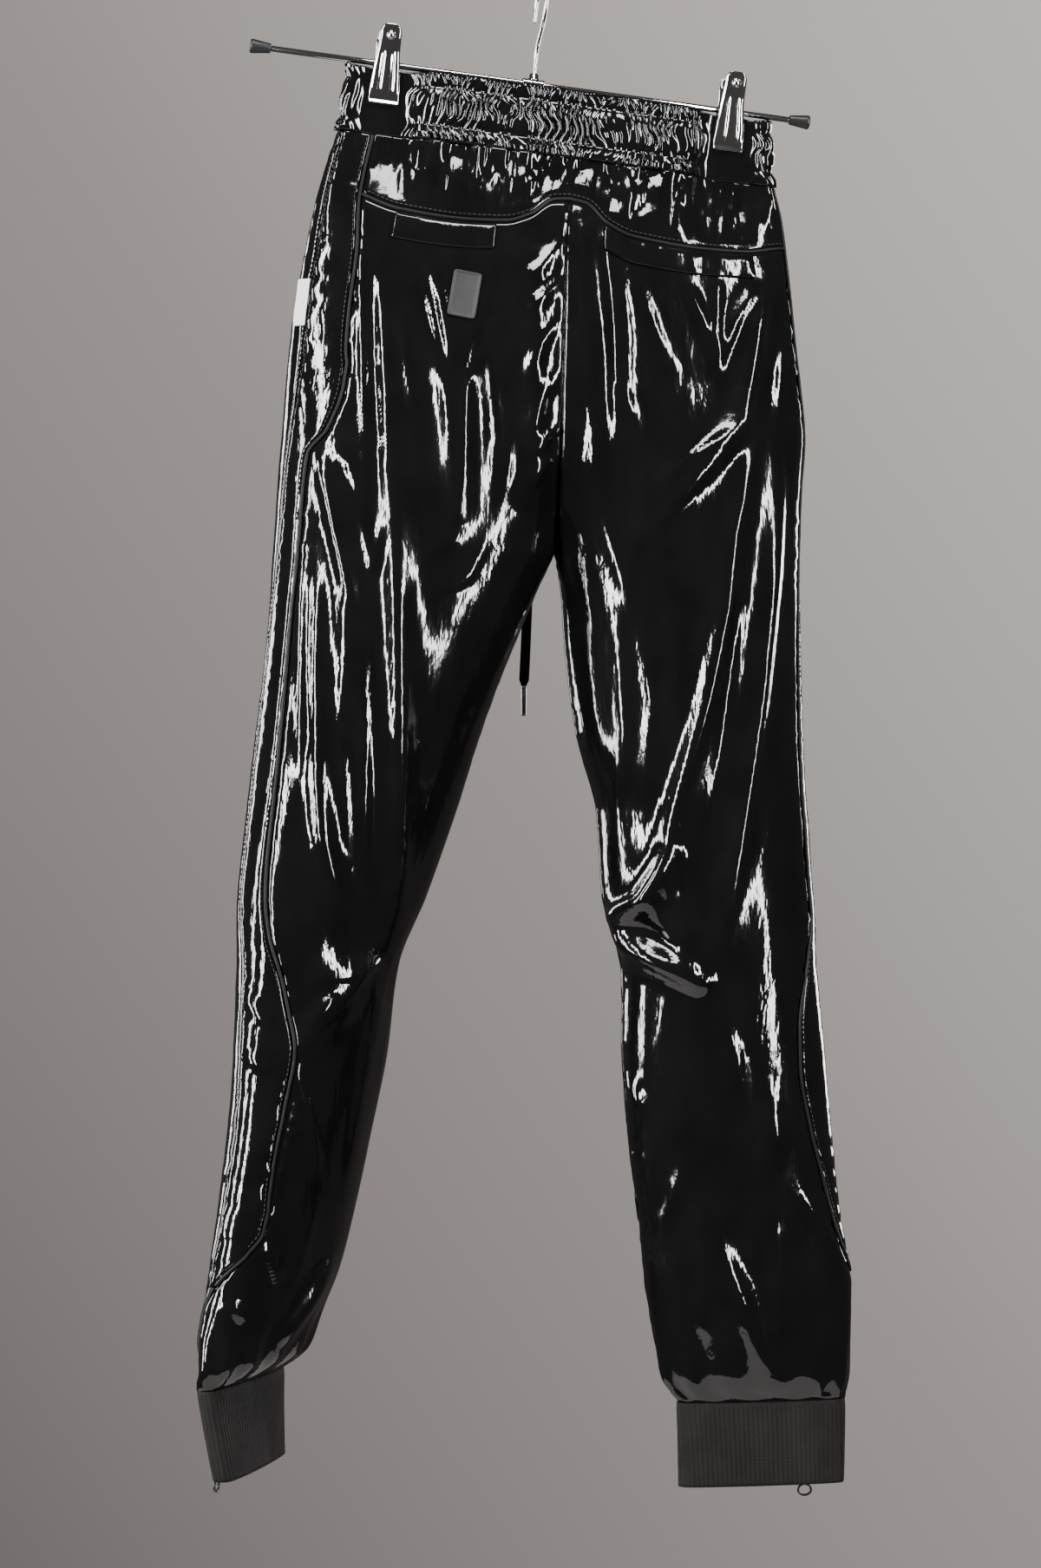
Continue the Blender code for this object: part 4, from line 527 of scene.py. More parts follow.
def crease_lift(x: Array, z: Array, facing: Array) -> Array:
    """How far the creases raise the cloth.

    Args:
        x: Places on the cloth.
        z: Their heights.
        facing: -1 where the cloth faces back and 1 where it faces front.

    Returns:
        The height of the cloth above its plain form.
    """
    lift = np.zeros(np.shape(x))
    for crease in CREASES:
        away, share, hand = near_path(crease.path, x, z)
        width = np.where(hand > 0, crease.width, crease.other_width)
        towards = smooth_step(facing * crease.face.value, 0.1, 0.6)
        fade = np.sin(np.pi * np.clip(share, 0.02, 0.98)) ** CREASE_TAPER
        lift += crease.height * fade * towards * np.exp(-((away / width) ** 2))
    near_crotch = np.hypot(x - TORSO[-1].seam_x, z - CROTCH_Z)
    return lift * smooth_step(near_crotch, 0.010, 0.050)


def tilt(z: Array) -> Array:
    """Slope of a row: the rows of the torso follow the hanger, and those of the legs are level."""
    return math.tan(HANGER_TILT) * smooth_step(z, TILT_NONE_Z, TILT_FULL_Z)


def cloth_point(side: str, angle: Array, z: Array, lift: Array | float = 0.0, cuff: bool = False,
                gathers: Array | float = 0.0, crumple: float = 0.0) -> Array:
    """Points of the cloth's outer face.

    Args:
        side: "left" or "right".
        angle: Degrees round the section, from its inside over the back.
        z: The height that the row has at x = 0.
        lift: How far the points are moved out.
        cuff: Whether they lie on the cuff.
        gathers: The height of the gathers there.
        crumple: Share of the film's own fine crumpling.

    Returns:
        Points of shape (..., 3).
    """
    angle, z = np.broadcast_arrays(np.asarray(angle, float), np.asarray(z, float))
    sign = SIDES[side]
    mid_x, mid_y, half_width, half_depth, turn = section(side, z, cuff)
    core_width, core_depth = half_width - EDGE_ROUND, half_depth - EDGE_ROUND
    cosine, sine = np.cos(np.radians(angle)), np.sin(np.radians(angle))
    scale = np.hypot(core_depth * cosine, core_width * sine)
    out_x, out_y = -sign * core_depth * cosine / scale, -core_width * sine / scale
    local_x, local_y = -sign * core_width * cosine, -core_depth * sine
    turned = np.radians(-sign * turn)
    turn_cos, turn_sin = np.cos(turned), np.sin(turned)
    normal_x = out_x * turn_cos - out_y * turn_sin
    normal_y = out_x * turn_sin + out_y * turn_cos
    base_x = mid_x + local_x * turn_cos - local_y * turn_sin + EDGE_ROUND * normal_x
    base_y = mid_y + local_x * turn_sin + local_y * turn_cos + EDGE_ROUND * normal_y
    high = z - tilt(z) * base_x
    raised = gathers
    if not cuff:
        squeeze = clip_pinch(base_x, high)
        loose = raised + crease_lift(base_x, high, normal_y)
        if crumple:
            loose = loose + crumple * film_crumple(np.stack([base_x, base_y, high], axis=-1))
        flat = GATHERED_AT_CLIP - np.abs(base_y)
        raised = loose + squeeze * np.minimum(flat - loose, 0.0)
    out = raised + lift
    x, y = base_x + out * normal_x, base_y + out * normal_y
    if not cuff:
        seam = column(TORSO, "z", "seam_x", np.maximum(z, CROTCH_Z)) + sign * SEAM_GAP / 2
        x = np.where(z >= CROTCH_Z, sign * np.maximum(sign * (x - seam), 0.0) + seam, x)
    return np.stack([x, y, high], axis=-1)


def film_crumple(points: Array) -> Array:
    """The fine unevenness of the coated film: soft swells, and thin bent lines over them."""
    swell = lattice_noise(points, (0.030, 0.030, 0.085), 11)
    ripple = lattice_noise(points, (0.012, 0.012, 0.034), 12)
    bent = 1 - np.abs(lattice_noise(points, (0.019, 0.019, 0.048), 13)) * 2.4
    patches = smooth_step(lattice_noise(points, (0.060, 0.060, 0.110), 14), -0.25, 0.45)
    lines = np.maximum(bent, 0.0) ** 2 * patches
    return SWELL * swell + RIPPLE * ripple * (0.35 + patches) + BENT_LINE * lines


def shifted(side: str, angle: Array, z: Array, distance: Array | float, cuff: bool = False) -> Array:
    """The angle that lies this far along the section from the given one."""
    step = 0.5
    here = cloth_point(side, angle - step, z, cuff=cuff)
    there = cloth_point(side, angle + step, z, cuff=cuff)
    per_degree = np.linalg.norm(there - here, axis=-1) / (2 * step)
    return angle + distance / per_degree


def seam_angle(side: str, seam: str, z: Array) -> Array:
    """Angle of a seam at the given heights."""
    if seam in ("centre_back", "centre_front"):
        turn = np.degrees(np.arccos(edge_cosine(z)))
        return turn if seam == "centre_back" else 360 - turn
    return column(SIDE_SEAMS[side], "z", seam, z)


def panel_edge(side: str, seam: str, z: Array, room: Array | float, cuff: bool = False) -> Array:
    """The angle of a panel's edge that keeps this much room from a seam."""
    angle = seam_angle(side, seam, z)
    step = 2 * MM
    above = cloth_point(side, seam_angle(side, seam, z + step), z + step, cuff=cuff)
    below = cloth_point(side, seam_angle(side, seam, z - step), z - step, cuff=cuff)
    slant = np.linalg.norm(above - below, axis=-1) / np.abs(above - below)[..., 2]
    moved = shifted(side, angle, z, room * slant, cuff)
    if seam in ("centre_back", "centre_front"):
        half_gap = np.sign(room) * SEAM_GAP / 2
        closed = shifted(side, np.where(seam == "centre_back", 0.0, 360.0) + 0 * z, z, half_gap)
        moved = np.maximum(angle, closed) if seam == "centre_back" else np.minimum(angle, closed)
    return moved


def ankle_gathers(side: str, angle: Array, z: Array) -> Array:
    """Soft gathers of the leg above the cuff."""
    bottom = LEGS[side][-1].z
    fade = smooth_step(z, bottom + 0.060, bottom + 0.012) * smooth_step(z, bottom, bottom + 0.006)
    return 1.6 * MM * fade * np.sin(np.radians(angle) * 12)


def yoke_edge_z(side: str, angle: Array) -> Array:
    """Height of the yoke seam on its row at x = 0, by the angle."""
    seam = seam_angle(side, "back", np.full_like(angle, YOKE_SIDE_Z))
    share = np.cos(np.radians(angle)) / np.cos(np.radians(seam))
    return YOKE_SIDE_Z - column(YOKE_EDGE, "share", "drop", np.clip(share, 0.0, 1.0))


def yoke_room(side: str, angle: Array) -> Array:
    """How far above or below the yoke seam a cloth edge keeps clear of the piping."""
    step = 1.0
    ends = [cloth_point(side, angle + turn, yoke_edge_z(side, angle + turn)) for turn in (-step, step)]
    across = np.linalg.norm((ends[1] - ends[0])[..., :2], axis=-1)
    level = yoke_edge_z(side, angle + step) - yoke_edge_z(side, angle - step)
    return PIPING_ROOM * np.hypot(1.0, level / across)


def yoke_angles(side: str, count: int) -> Array:
    """Angles of columns along the yoke's lower edge on one side, closer where the edge peaks."""
    edge = panel_edge(side, "back", np.array([YOKE_SIDE_Z]), -PIPING_ROOM)[0]
    return 90.0 + (edge - 90.0) * np.linspace(0, 1, count + 1) ** PEAK_POWER


def between(first: Array, last: Array, count: int) -> Array:
    """Evenly spaced values between two columns: shape (rows, count + 1)."""
    share = np.linspace(0, 1, count + 1)
    return first[:, None] * (1 - share) + last[:, None] * share


# ---- finishes

def add_node(tree: NodeTree, kind: str, **inputs: object) -> Node:
    """A shader node with its inputs linked or set.

    Args:
        tree: The tree that it goes in.
        kind: Its type's name after "ShaderNode".
        inputs: A socket or a plain value for each input. An underscore stands for a space.

    Returns:
        The node.
    """
    node = tree.nodes.new("ShaderNode" + kind)
    for label, value in inputs.items():
        socket = node.inputs[label.replace("_", " ")]
        if isinstance(value, NodeSocket):
            tree.links.new(value, socket)
        else:
            socket.default_value = value
    return node


class Groups:
    """Shader node groups for the effects that several finishes share, each built once."""

    @staticmethod
    def start(name: str, inputs: dict[str, float], outputs: Sequence[str]) -> tuple:
        """A new group with float inputs and outputs, and its two end nodes.

        Args:
            name: The group's name.
            inputs: Default values by socket name.
            outputs: Names of the float outputs.

        Returns:
            The tree, its input node and its output node.
        """
        tree = bpy.data.node_groups.new(name, "ShaderNodeTree")
        for label, value in inputs.items():
            socket = tree.interface.new_socket(label, in_out="INPUT", socket_type="NodeSocketFloat")
            socket.default_value = value
        for label in outputs:
            tree.interface.new_socket(label, in_out="OUTPUT", socket_type="NodeSocketFloat")
        return tree, tree.nodes.new("NodeGroupInput"), tree.nodes.new("NodeGroupOutput")

    @staticmethod
    def noise(tree: NodeTree, scale: object, stretch: Sequence[float], detail: float) -> NodeSocket:
        """Noise in the garment's own metres, stretched along its axes."""
        place = add_node(tree, "TexCoord")
        mapping = add_node(tree, "Mapping", Vector=place.outputs["Object"], Scale=stretch)
        texture = add_node(tree, "TexNoise", Vector=mapping.outputs["Vector"], Scale=scale, Detail=detail)
        return texture.outputs["Fac"]

    @staticmethod
    def math(tree: NodeTree, operation: str, a: object, b: object = 0.0) -> NodeSocket:
        """A Math node on two sockets or numbers."""
        node = tree.nodes.new("ShaderNodeMath")
        node.operation = operation
        for socket, value in zip(node.inputs, (a, b)):
            if isinstance(value, (int, float)):
                socket.default_value = value
            else:
                tree.links.new(value, socket)
        return node.outputs[0]

    @classmethod
    @cache
    def film_height(cls) -> NodeTree:
        """Height of the film's finest wrinkles: upright creases and a faint orange peel."""
        tree, given, out = cls.start("film_height", {"Wrinkle": 1.0, "Peel": 1.0}, ("Height",))
        wrinkle = cls.noise(tree, 85.0, (1.0, 1.0, 0.35), 3.0)
        peel = cls.noise(tree, 900.0, (1.0, 1.0, 1.0), 1.0)
        folded = cls.math(tree, "ABSOLUTE", cls.math(tree, "SUBTRACT", wrinkle, 0.5))
        high = cls.math(tree, "MULTIPLY", folded, given.outputs["Wrinkle"])
        fine = cls.math(tree, "MULTIPLY", peel, given.outputs["Peel"])
        tree.links.new(cls.math(tree, "ADD", high, fine), out.inputs["Height"])
        return tree

    @classmethod
    @cache
    def smudge(cls) -> NodeTree:
        """Roughness that changes over the surface where it was handled."""
        tree, given, out = cls.start("smudge", {"Low": 0.05, "High": 0.15, "Scale": 14.0}, ("Value",))
        handled = cls.noise(tree, given.outputs["Scale"], (1.0, 1.0, 0.6), 6.0)
        span = add_node(tree, "MapRange", Value=handled, From_Min=0.35, From_Max=0.70,
                        To_Min=given.outputs["Low"], To_Max=given.outputs["High"])
        tree.links.new(span.outputs["Result"], out.inputs["Value"])
        return tree

    @classmethod
    @cache
    def knit_height(cls) -> NodeTree:
        """Height of woven or knitted yarn: short rows of bumps along Z, and loose fibre."""
        tree, given, out = cls.start("knit_height", {"Rows": 900.0, "Fuzz": 0.5}, ("Height",))
        place = add_node(tree, "TexCoord")
        parts = add_node(tree, "SeparateXYZ", Vector=place.outputs["Object"])
        turns = cls.math(tree, "MULTIPLY", parts.outputs["Z"], given.outputs["Rows"])
        rows = cls.math(tree, "SINE", cls.math(tree, "MULTIPLY", turns, 2 * math.pi))
        fibre = cls.noise(tree, 1400.0, (1.0, 1.0, 1.0), 2.0)
        fuzz = cls.math(tree, "MULTIPLY", fibre, given.outputs["Fuzz"])
        low_rows = cls.math(tree, "MULTIPLY", rows, 0.35)
        tree.links.new(cls.math(tree, "ADD", low_rows, fuzz), out.inputs["Height"])
        return tree


@dataclass(frozen=True)
class Finish:
    """A surface: its Principled values, and how its colour, roughness and height change over it."""

    name: str
    colour: tuple[float, float, float]
    rough: tuple[float, float]
    metallic: float = 0.0
    sheen: float = 0.0
    specular: float = 0.5
    film: tuple[float, float] | None = None
    knit: tuple[float, float] | None = None
    bump: float = 0.0
    shade: float = 0.25
    smudge_scale: float = 14.0

    @staticmethod
    def place_group(tree: NodeTree, group: NodeTree, **values: float) -> NodeSocket:
        """The output of a group node with its own input values."""
        node = tree.nodes.new("ShaderNodeGroup")
        node.node_tree = group
        for label, value in values.items():
            node.inputs[label].default_value = value
        return node.outputs[0]

    def material(self) -> Material:
        """The finish as a node material, made once."""
        known = bpy.data.materials.get(self.name)
        if known:
            return known
        made = bpy.data.materials.new(self.name)
        made.use_nodes = True
        tree = made.node_tree
        shader = tree.nodes["Principled BSDF"]
        shader.inputs["Metallic"].default_value = self.metallic
        shader.inputs["Sheen Weight"].default_value = self.sheen
        shader.inputs["Specular IOR Level"].default_value = self.specular
        smudge = self.place_group(
            tree, Groups.smudge(), Low=self.rough[0], High=self.rough[1], Scale=self.smudge_scale)
        tree.links.new(smudge, shader.inputs["Roughness"])
        tint = tree.nodes.new("ShaderNodeMix")
        tint.data_type = "RGBA"
        dark = tuple(value * (1 - self.shade) for value in self.colour)
        light = tuple(min(1.0, value * (1 + self.shade)) for value in self.colour)
        tint.inputs["A"].default_value = (*dark, 1.0)
        tint.inputs["B"].default_value = (*light, 1.0)
        mottle = self.place_group(tree, Groups.smudge(), Low=0.0, High=1.0, Scale=self.smudge_scale * 3)
        tree.links.new(mottle, tint.inputs["Factor"])
        tree.links.new(tint.outputs["Result"], shader.inputs["Base Color"])
        self.raise_surface(tree, shader)
        return made

    def raise_surface(self, tree: NodeTree, shader: Node) -> None:
        """Links the finish's bump to the shader's normals."""
        if self.film:
            height = self.place_group(tree, Groups.film_height(), Wrinkle=self.film[0], Peel=self.film[1])
        elif self.knit:
            height = self.place_group(tree, Groups.knit_height(), Rows=self.knit[0], Fuzz=self.knit[1])
        else:
            return
        bump = add_node(tree, "Bump", Distance=self.bump, Strength=1.0, Height=height)
        tree.links.new(bump.outputs["Normal"], shader.inputs["Normal"])


VINYL = Finish("black_vinyl", (0.004, 0.004, 0.0042), (0.045, 0.10), specular=0.8, film=(1.0, 0.03),
               bump=0.0006)
BAND_VINYL = Finish("gathered_vinyl", (0.004, 0.004, 0.0042), (0.05, 0.11), specular=0.9, film=(0.3, 0.02),
                    bump=0.0003)
PIPING = Finish("matt_piping", (0.010, 0.010, 0.0105), (0.42, 0.58), specular=0.2, film=(0.3, 0.2),
                bump=0.0002)
RIB_KNIT = Finish("charcoal_rib", (0.0125, 0.0113, 0.0108), (0.80, 0.95), specular=0.2, knit=(620.0, 0.6),
                  bump=0.0002)
RUBBER = Finish("moulded_rubber", (0.022, 0.022, 0.023), (0.50, 0.68), film=(0.1, 0.5), bump=0.0001)
LABEL = Finish("woven_label", (0.90, 0.90, 0.89), (0.75, 0.90), knit=(1800.0, 0.3), bump=0.00012, shade=0.05,
               specular=0.3)
CORD = Finish("braided_cord", (0.012, 0.012, 0.013), (0.80, 0.95), sheen=0.2, knit=(520.0, 0.6), bump=0.0003,
              specular=0.25)
THREAD = Finish("stitch_thread", (0.060, 0.060, 0.063), (0.50, 0.65), knit=(2500.0, 0.3), bump=0.00008)
DARK_METAL = Finish("dark_plate", (0.30, 0.30, 0.31), (0.22, 0.36), metallic=1.0, film=(0.1, 0.2),
                    bump=0.00005)
BLACK_METAL = Finish("black_lacquer_metal", (0.030, 0.030, 0.032), (0.25, 0.40), metallic=0.4,
                     film=(0.1, 0.3), bump=0.00005)
CHROME = Finish("chrome_plate", (0.80, 0.80, 0.82), (0.05, 0.12), metallic=1.0, shade=0.04)
CAP_PLASTIC = Finish("moulded_cap", (0.014, 0.014, 0.015), (0.32, 0.46), film=(0.2, 0.5), bump=0.00008)


# ---- mesh making

def placed(name: str, data: ID) -> Object:
    """A new object in the scene for this mesh, light or camera."""
    obj = bpy.data.objects.new(name, data)
    bpy.context.scene.collection.objects.link(obj)
    return obj


def moved(place: Matrix, points: Sequence) -> Array:
    """Points brought from a piece's own axes to its place."""
    return np.array([place @ Vector(point) for point in points])


def mesh_piece(name: str, points: Array, faces: Sequence, finish: Finish, sharp: float = 180.0) -> Object:
    """A smooth mesh object from points and faces, its faces turned outwards.

    Args:
        name: The piece's name.
        points: Its points, of shape (n, 3).
        faces: Corner numbers of each face.
        finish: Its finish.
        sharp: Edges over this angle in degrees stay sharp.

    Returns:
        The new object.
    """
    data = bpy.data.meshes.new(name)
    data.from_pydata(np.asarray(points).reshape(-1, 3).tolist(), [], faces)
    mesh = bmesh.new()
    mesh.from_mesh(data)
    bmesh.ops.recalc_face_normals(mesh, faces=mesh.faces)
    if mesh.calc_volume(signed=True) < 0:
        bmesh.ops.reverse_faces(mesh, faces=mesh.faces)
    mesh.to_mesh(data)
    mesh.free()
    data.shade_smooth()
    if sharp < 180:
        data.set_sharp_from_angle(angle=math.radians(sharp))
    data.materials.append(finish.material())
    return placed(name, data)


def grid_quads(rows: int, columns: int, start: int, flip: bool, closed: bool = False) -> list:
    """Quads of a grid of points, which may close round from its last column to its first."""
    i, j = np.meshgrid(np.arange(rows - 1), np.arange(columns if closed else columns - 1), indexing="ij")
    a = start + i * columns + j
    b = start + i * columns + (j + 1) % columns
    quads = np.stack([a, a + columns, b + columns, b], axis=-1).reshape(-1, 4)
    return (quads[:, ::-1] if flip else quads).tolist()


def shell(name: str, outer: Array, inner: Array, finish: Finish, closed: bool = False) -> Object:
    """A closed thin shell between an outer and an inner grid of points.

    Args:
        name: The piece's name.
        outer: The outer face's points, of shape (rows, columns, 3).
        inner: The inner face's points, of the same shape.
        finish: Its finish.
        closed: Whether the rows are rings.

    Returns:
        The new object.
    """
    rows, columns = outer.shape[:2]
    count = rows * columns
    faces = grid_quads(rows, columns, 0, False, closed) + grid_quads(rows, columns, count, True, closed)
    if closed:
        for row in (0, rows - 1):
            ring = [row * columns + j for j in range(columns)]
            faces += [(a, b, b + count, a + count) for a, b in zip(ring, ring[1:] + ring[:1])]
    else:
        rim = list(range(columns))
        rim += [i * columns + columns - 1 for i in range(1, rows)]
        rim += [(rows - 1) * columns + j for j in range(columns - 2, -1, -1)]
        rim += [i * columns for i in range(rows - 2, 0, -1)]
        faces += [(a, b, b + count, a + count) for a, b in zip(rim, rim[1:] + rim[:1])]
    points = np.concatenate([outer.reshape(-1, 3), inner.reshape(-1, 3)])
    return mesh_piece(name, points, faces, finish)


def tube_quads(rows: int, columns: int, ring: bool) -> list:
    """Faces of a tube, which closes on itself as a ring or has two flat ends."""
    total = rows * columns
    if ring:
        quads = grid_quads(rows + 1, columns, 0, False, True)
        return [[corner % total for corner in face] for face in quads]
    ends = [list(range(columns)), list(range(total - columns, total))]
    return grid_quads(rows, columns, 0, False, True) + ends


def along_rows(points: Array) -> tuple[Array, Array]:
    """Distance of each grid point from its row's first and last point, along the row."""
    steps = np.linalg.norm(np.diff(points, axis=1), axis=-1)
    run = np.concatenate([np.zeros((len(points), 1)), np.cumsum(steps, axis=1)], axis=1)
    return run, run[:, -1:] - run


def tube_mesh(name: str, path: Array, radii: Array | float, finish: Finish, sides: int = 12,
              squeeze: float = 1.0, closed: bool = False) -> Object:
    """A tube along a path.

    Args:
        name: The piece's name.
        path: Points down its middle.
        radii: Its radius, at each point or all along.
        finish: Its finish.
        sides: Points round it.
        squeeze: Its thickness from back to front, as a share of its width.
        closed: Whether it is a ring.

    Returns:
        The new object.
    """
    path = np.asarray(path, float)
    ahead = np.roll(path, -1, axis=0) - np.roll(path, 1, axis=0)
    if not closed:
        ahead[0], ahead[-1] = path[1] - path[0], path[-1] - path[-2]
    ahead = unit(ahead)
    forwards = np.array([0.0, 1.0, 0.0])
    thin = unit(forwards - ahead * (ahead @ forwards)[:, None])
    wide = np.cross(ahead, thin)
    turn = np.linspace(0, 2 * np.pi, sides, endpoint=False)
    radii = np.broadcast_to(radii, len(path))[:, None, None]
    ring = wide[:, None] * np.cos(turn)[None, :, None] + thin[:, None] * np.sin(turn)[None, :, None] * squeeze
    points = path[:, None] + ring * radii
    return mesh_piece(name, points, tube_quads(len(path), sides, closed), finish, 180 if closed else 60)


def turned(name: str, profile: Sequence[tuple[float, float]], place: Matrix, finish: Finish, steps: int = 40,
           ring: bool = False) -> Object:
    """A turned piece from (radius, height) pairs along its own Z axis.

    Args:
        name: The piece's name.
        profile: Its profile, from top to bottom, or all round a ring.
        place: Its place.
        finish: Its finish.
        steps: Points round it.
        ring: Whether the profile closes on itself.

    Returns:
        The new object.
    """
    turn = np.linspace(0, 2 * np.pi, steps, endpoint=False)
    points = moved(place, [(r * math.cos(a), r * math.sin(a), h) for r, h in profile for a in turn])
    return mesh_piece(name, points, tube_quads(len(profile), steps, ring), finish, 50)


def rounded_box(name: str, size: Sequence[float], place: Matrix, finish: Finish, edge: float) -> Object:
    """A block with rounded edges."""
    mesh = bmesh.new()
    bmesh.ops.create_cube(mesh, size=1.0)
    bmesh.ops.transform(mesh, matrix=Matrix.Diagonal((*size, 1.0)), verts=mesh.verts)
    bmesh.ops.bevel(mesh, geom=mesh.edges[:], offset=edge, segments=3, profile=0.5, affect="EDGES")
    bmesh.ops.transform(mesh, matrix=place, verts=mesh.verts)
    return from_bmesh(name, mesh, finish)


def from_bmesh(name: str, mesh: bmesh.types.BMesh, finish: Finish, sharp: float = 40.0) -> Object:
    """An object from a bmesh, which is freed."""
    data = bpy.data.meshes.new(name)
    bmesh.ops.recalc_face_normals(mesh, faces=mesh.faces)
    mesh.to_mesh(data)
    mesh.free()
    data.shade_smooth()
    data.set_sharp_from_angle(angle=math.radians(sharp))
    data.materials.append(finish.material())
    return placed(name, data)


def joined(name: str, pieces: Sequence[Object]) -> Object:
    """One object from several, without a Boolean."""
    mesh = bmesh.new()
    for piece in pieces:
        mesh.from_mesh(piece.data)
    finish = pieces[0].data.materials[0]
    for piece in pieces:
        bpy.data.objects.remove(piece, do_unlink=True)
    data = bpy.data.meshes.new(name)
    mesh.to_mesh(data)
    mesh.free()
    data.materials.append(finish)
    return placed(name, data)


TROUSERS = "hung_trousers"


def dress(obj: Object, slot: str, *nodes: str, body: str = TROUSERS) -> Object:
    """Makes a piece ride on its body and stand for its nodes.

    Args:
        obj: The piece.
        slot: Not used.
        nodes: The CAD nodes that it stands for.
        body: The body that it rides on.

    Returns:
        The same piece.
    """
    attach(obj, body)
    if nodes:
        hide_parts(*nodes)
    LOG.info("%s: %d faces", obj.name, len(obj.data.polygons) if obj.type == "MESH" else 0)
    return obj


# ---- cloth

@dataclass
class LegCloth:
    """The panels of one side of the garment, torso and leg."""

    side: str
    across: float = 2.4 * MM
    down: float = 2.9 * MM
    front_across: float = 3.2 * MM
    front_down: float = 4.0 * MM
    strip_count: int = 22
    seam_roll: float = 0.9 * MM
    seam_reach: float = 1.8 * MM
    pucker_height: float = 1.1 * MM
    pucker_reach: float = 9.0 * MM
    pucker_pitch: float = 8.5 * MM

    def heights(self, low: float, spacing: float) -> Array:
        """Level rows from the waistband to the given height, as one column."""
        return np.linspace(BODY_TOP, low, round((BODY_TOP - low) / spacing) + 1)[:, None]

    def panel(self, name: str, angles: Array, heights: Array,
              crumple: float = 1.0) -> None:
        """A panel's cloth, rolled in and puckered at its two side seams.

        Args:
            name: The panel's name without its side.
            angles: The grid's angles.
            heights: The grid's heights, or one for each row.
            crumple: Share of the film's crumpling.
        """
        angles, heights = np.broadcast_arrays(angles, heights)
        plain = cloth_point(self.side, angles, heights)
        first, last = along_rows(plain)
        raised = ankle_gathers(self.side, angles, heights)
        for number, away in enumerate((first, last)):
            line = np.stack([heights, 0 * heights + number, 0 * heights], axis=-1)
            wave = lattice_noise(line, (self.pucker_pitch * 0.5, 1.0, 1.0), 31 + number)
            calm = 0.35 + 0.65 * smooth_step(lattice_noise(line, (0.060, 1.0, 1.0), 41 + number), -0.3, 0.5)
            raised = raised + self.pucker_height * calm * wave * np.exp(-away / self.pucker_reach)
            raised = raised - self.seam_roll * np.exp(-((away / self.seam_reach) ** 2))
        outer = cloth_point(self.side, angles, heights, gathers=raised, crumple=crumple)
        inner = cloth_point(self.side, angles, heights, lift=-CLOTH, gathers=raised, crumple=crumple)
        piece = shell(f"{name}_cloth_{self.side}", outer, inner, VINYL)
        dress(piece, "vinyl", f"{name}_{self.side}")

    def back(self) -> None:
        """The back panel, from the yoke seam to the cuff."""
        side, room = self.side, PIPING_ROOM
        bottom = LEGS[side][-1].z
        count = round(BACK_ACROSS[side] / self.across)
        levels = np.linspace(LEG_ROWS_FROM_Z, bottom, round((LEG_ROWS_FROM_Z - bottom) / self.down) + 1)
        first = panel_edge(side, "centre_back", levels, SEAM_GAP / 2)
        last = panel_edge(side, "back", levels, -np.where(levels < ZIP_TOP[side], SEAM_GAP / 2, room))
        top_angles = yoke_angles(side, count)
        top = yoke_edge_z(side, top_angles) - yoke_room(side, top_angles)
        down = np.linspace(0, 1, round((YOKE_SIDE_Z - LEG_ROWS_FROM_Z) / self.down) + 1)[:-1, None]
        upper = top * (1 - down) + levels[0] * down
        upper_last = panel_edge(side, "back", upper[:, -1], -room)
        share = np.linspace(0, 1, count + 1)
        across = share**PEAK_POWER * (1 - down) + share * down
        angles = np.vstack([90.0 + (upper_last[:, None] - 90.0) * across, between(first, last, count)])
        heights = np.vstack([upper, np.repeat(levels[:, None], count + 1, axis=1)])
        self.panel("back_panel", angles, heights)

    def front(self) -> None:
        """The front panel, from the waistband to the cuff."""
        side = self.side
        levels = self.heights(LEGS[side][-1].z, self.front_down)
        first = panel_edge(side, "front", levels[:, 0], SEAM_GAP / 2)
        last = panel_edge(side, "centre_front", levels[:, 0], -SEAM_GAP / 2)
        angles = between(first, last, round(FRONT_ACROSS / self.front_across))
        self.panel("front_panel", angles, levels)

    def strip(self) -> None:
        """The side panel between the piping and the topstitched seam."""
        side = self.side
        levels = self.heights(ZIP_TOP[side] + SEAM_GAP, 2.2 * MM)
        first = panel_edge(side, "back", levels[:, 0], PIPING_ROOM)
        last = panel_edge(side, "front", levels[:, 0], -SEAM_GAP / 2)
        angles = between(first, last, self.strip_count)
        self.panel("side_panel", angles, levels, 0.8)

    def piping(self) -> None:
        """The piping in the back side seam."""
        side = self.side
        levels = self.heights(ZIP_TOP[side] + 2 * MM, 2.5 * MM)[:, 0]
        levels[0] -= SEAM_GAP + PIPING_RADIUS / 2
        middle = cloth_point(side, seam_angle(side, "back", levels), levels, lift=-PIPING_SINK)
        kink = lattice_noise(middle, (0.02, 0.02, 0.006), 51)[:, None] * np.array([0.0001, 0.0001, 0.0])
        radii = PIPING_RADIUS * (1 + 0.05 * lattice_noise(middle, (0.02, 0.02, 0.004), 52))
        dress(tube_mesh(f"piping_cord_{side}", middle + kink, radii, PIPING), "piping", f"piping_{side}")

    def build(self) -> None:
        """All the panels of this side."""
        self.back()
        self.front()
        self.strip()
        self.piping()


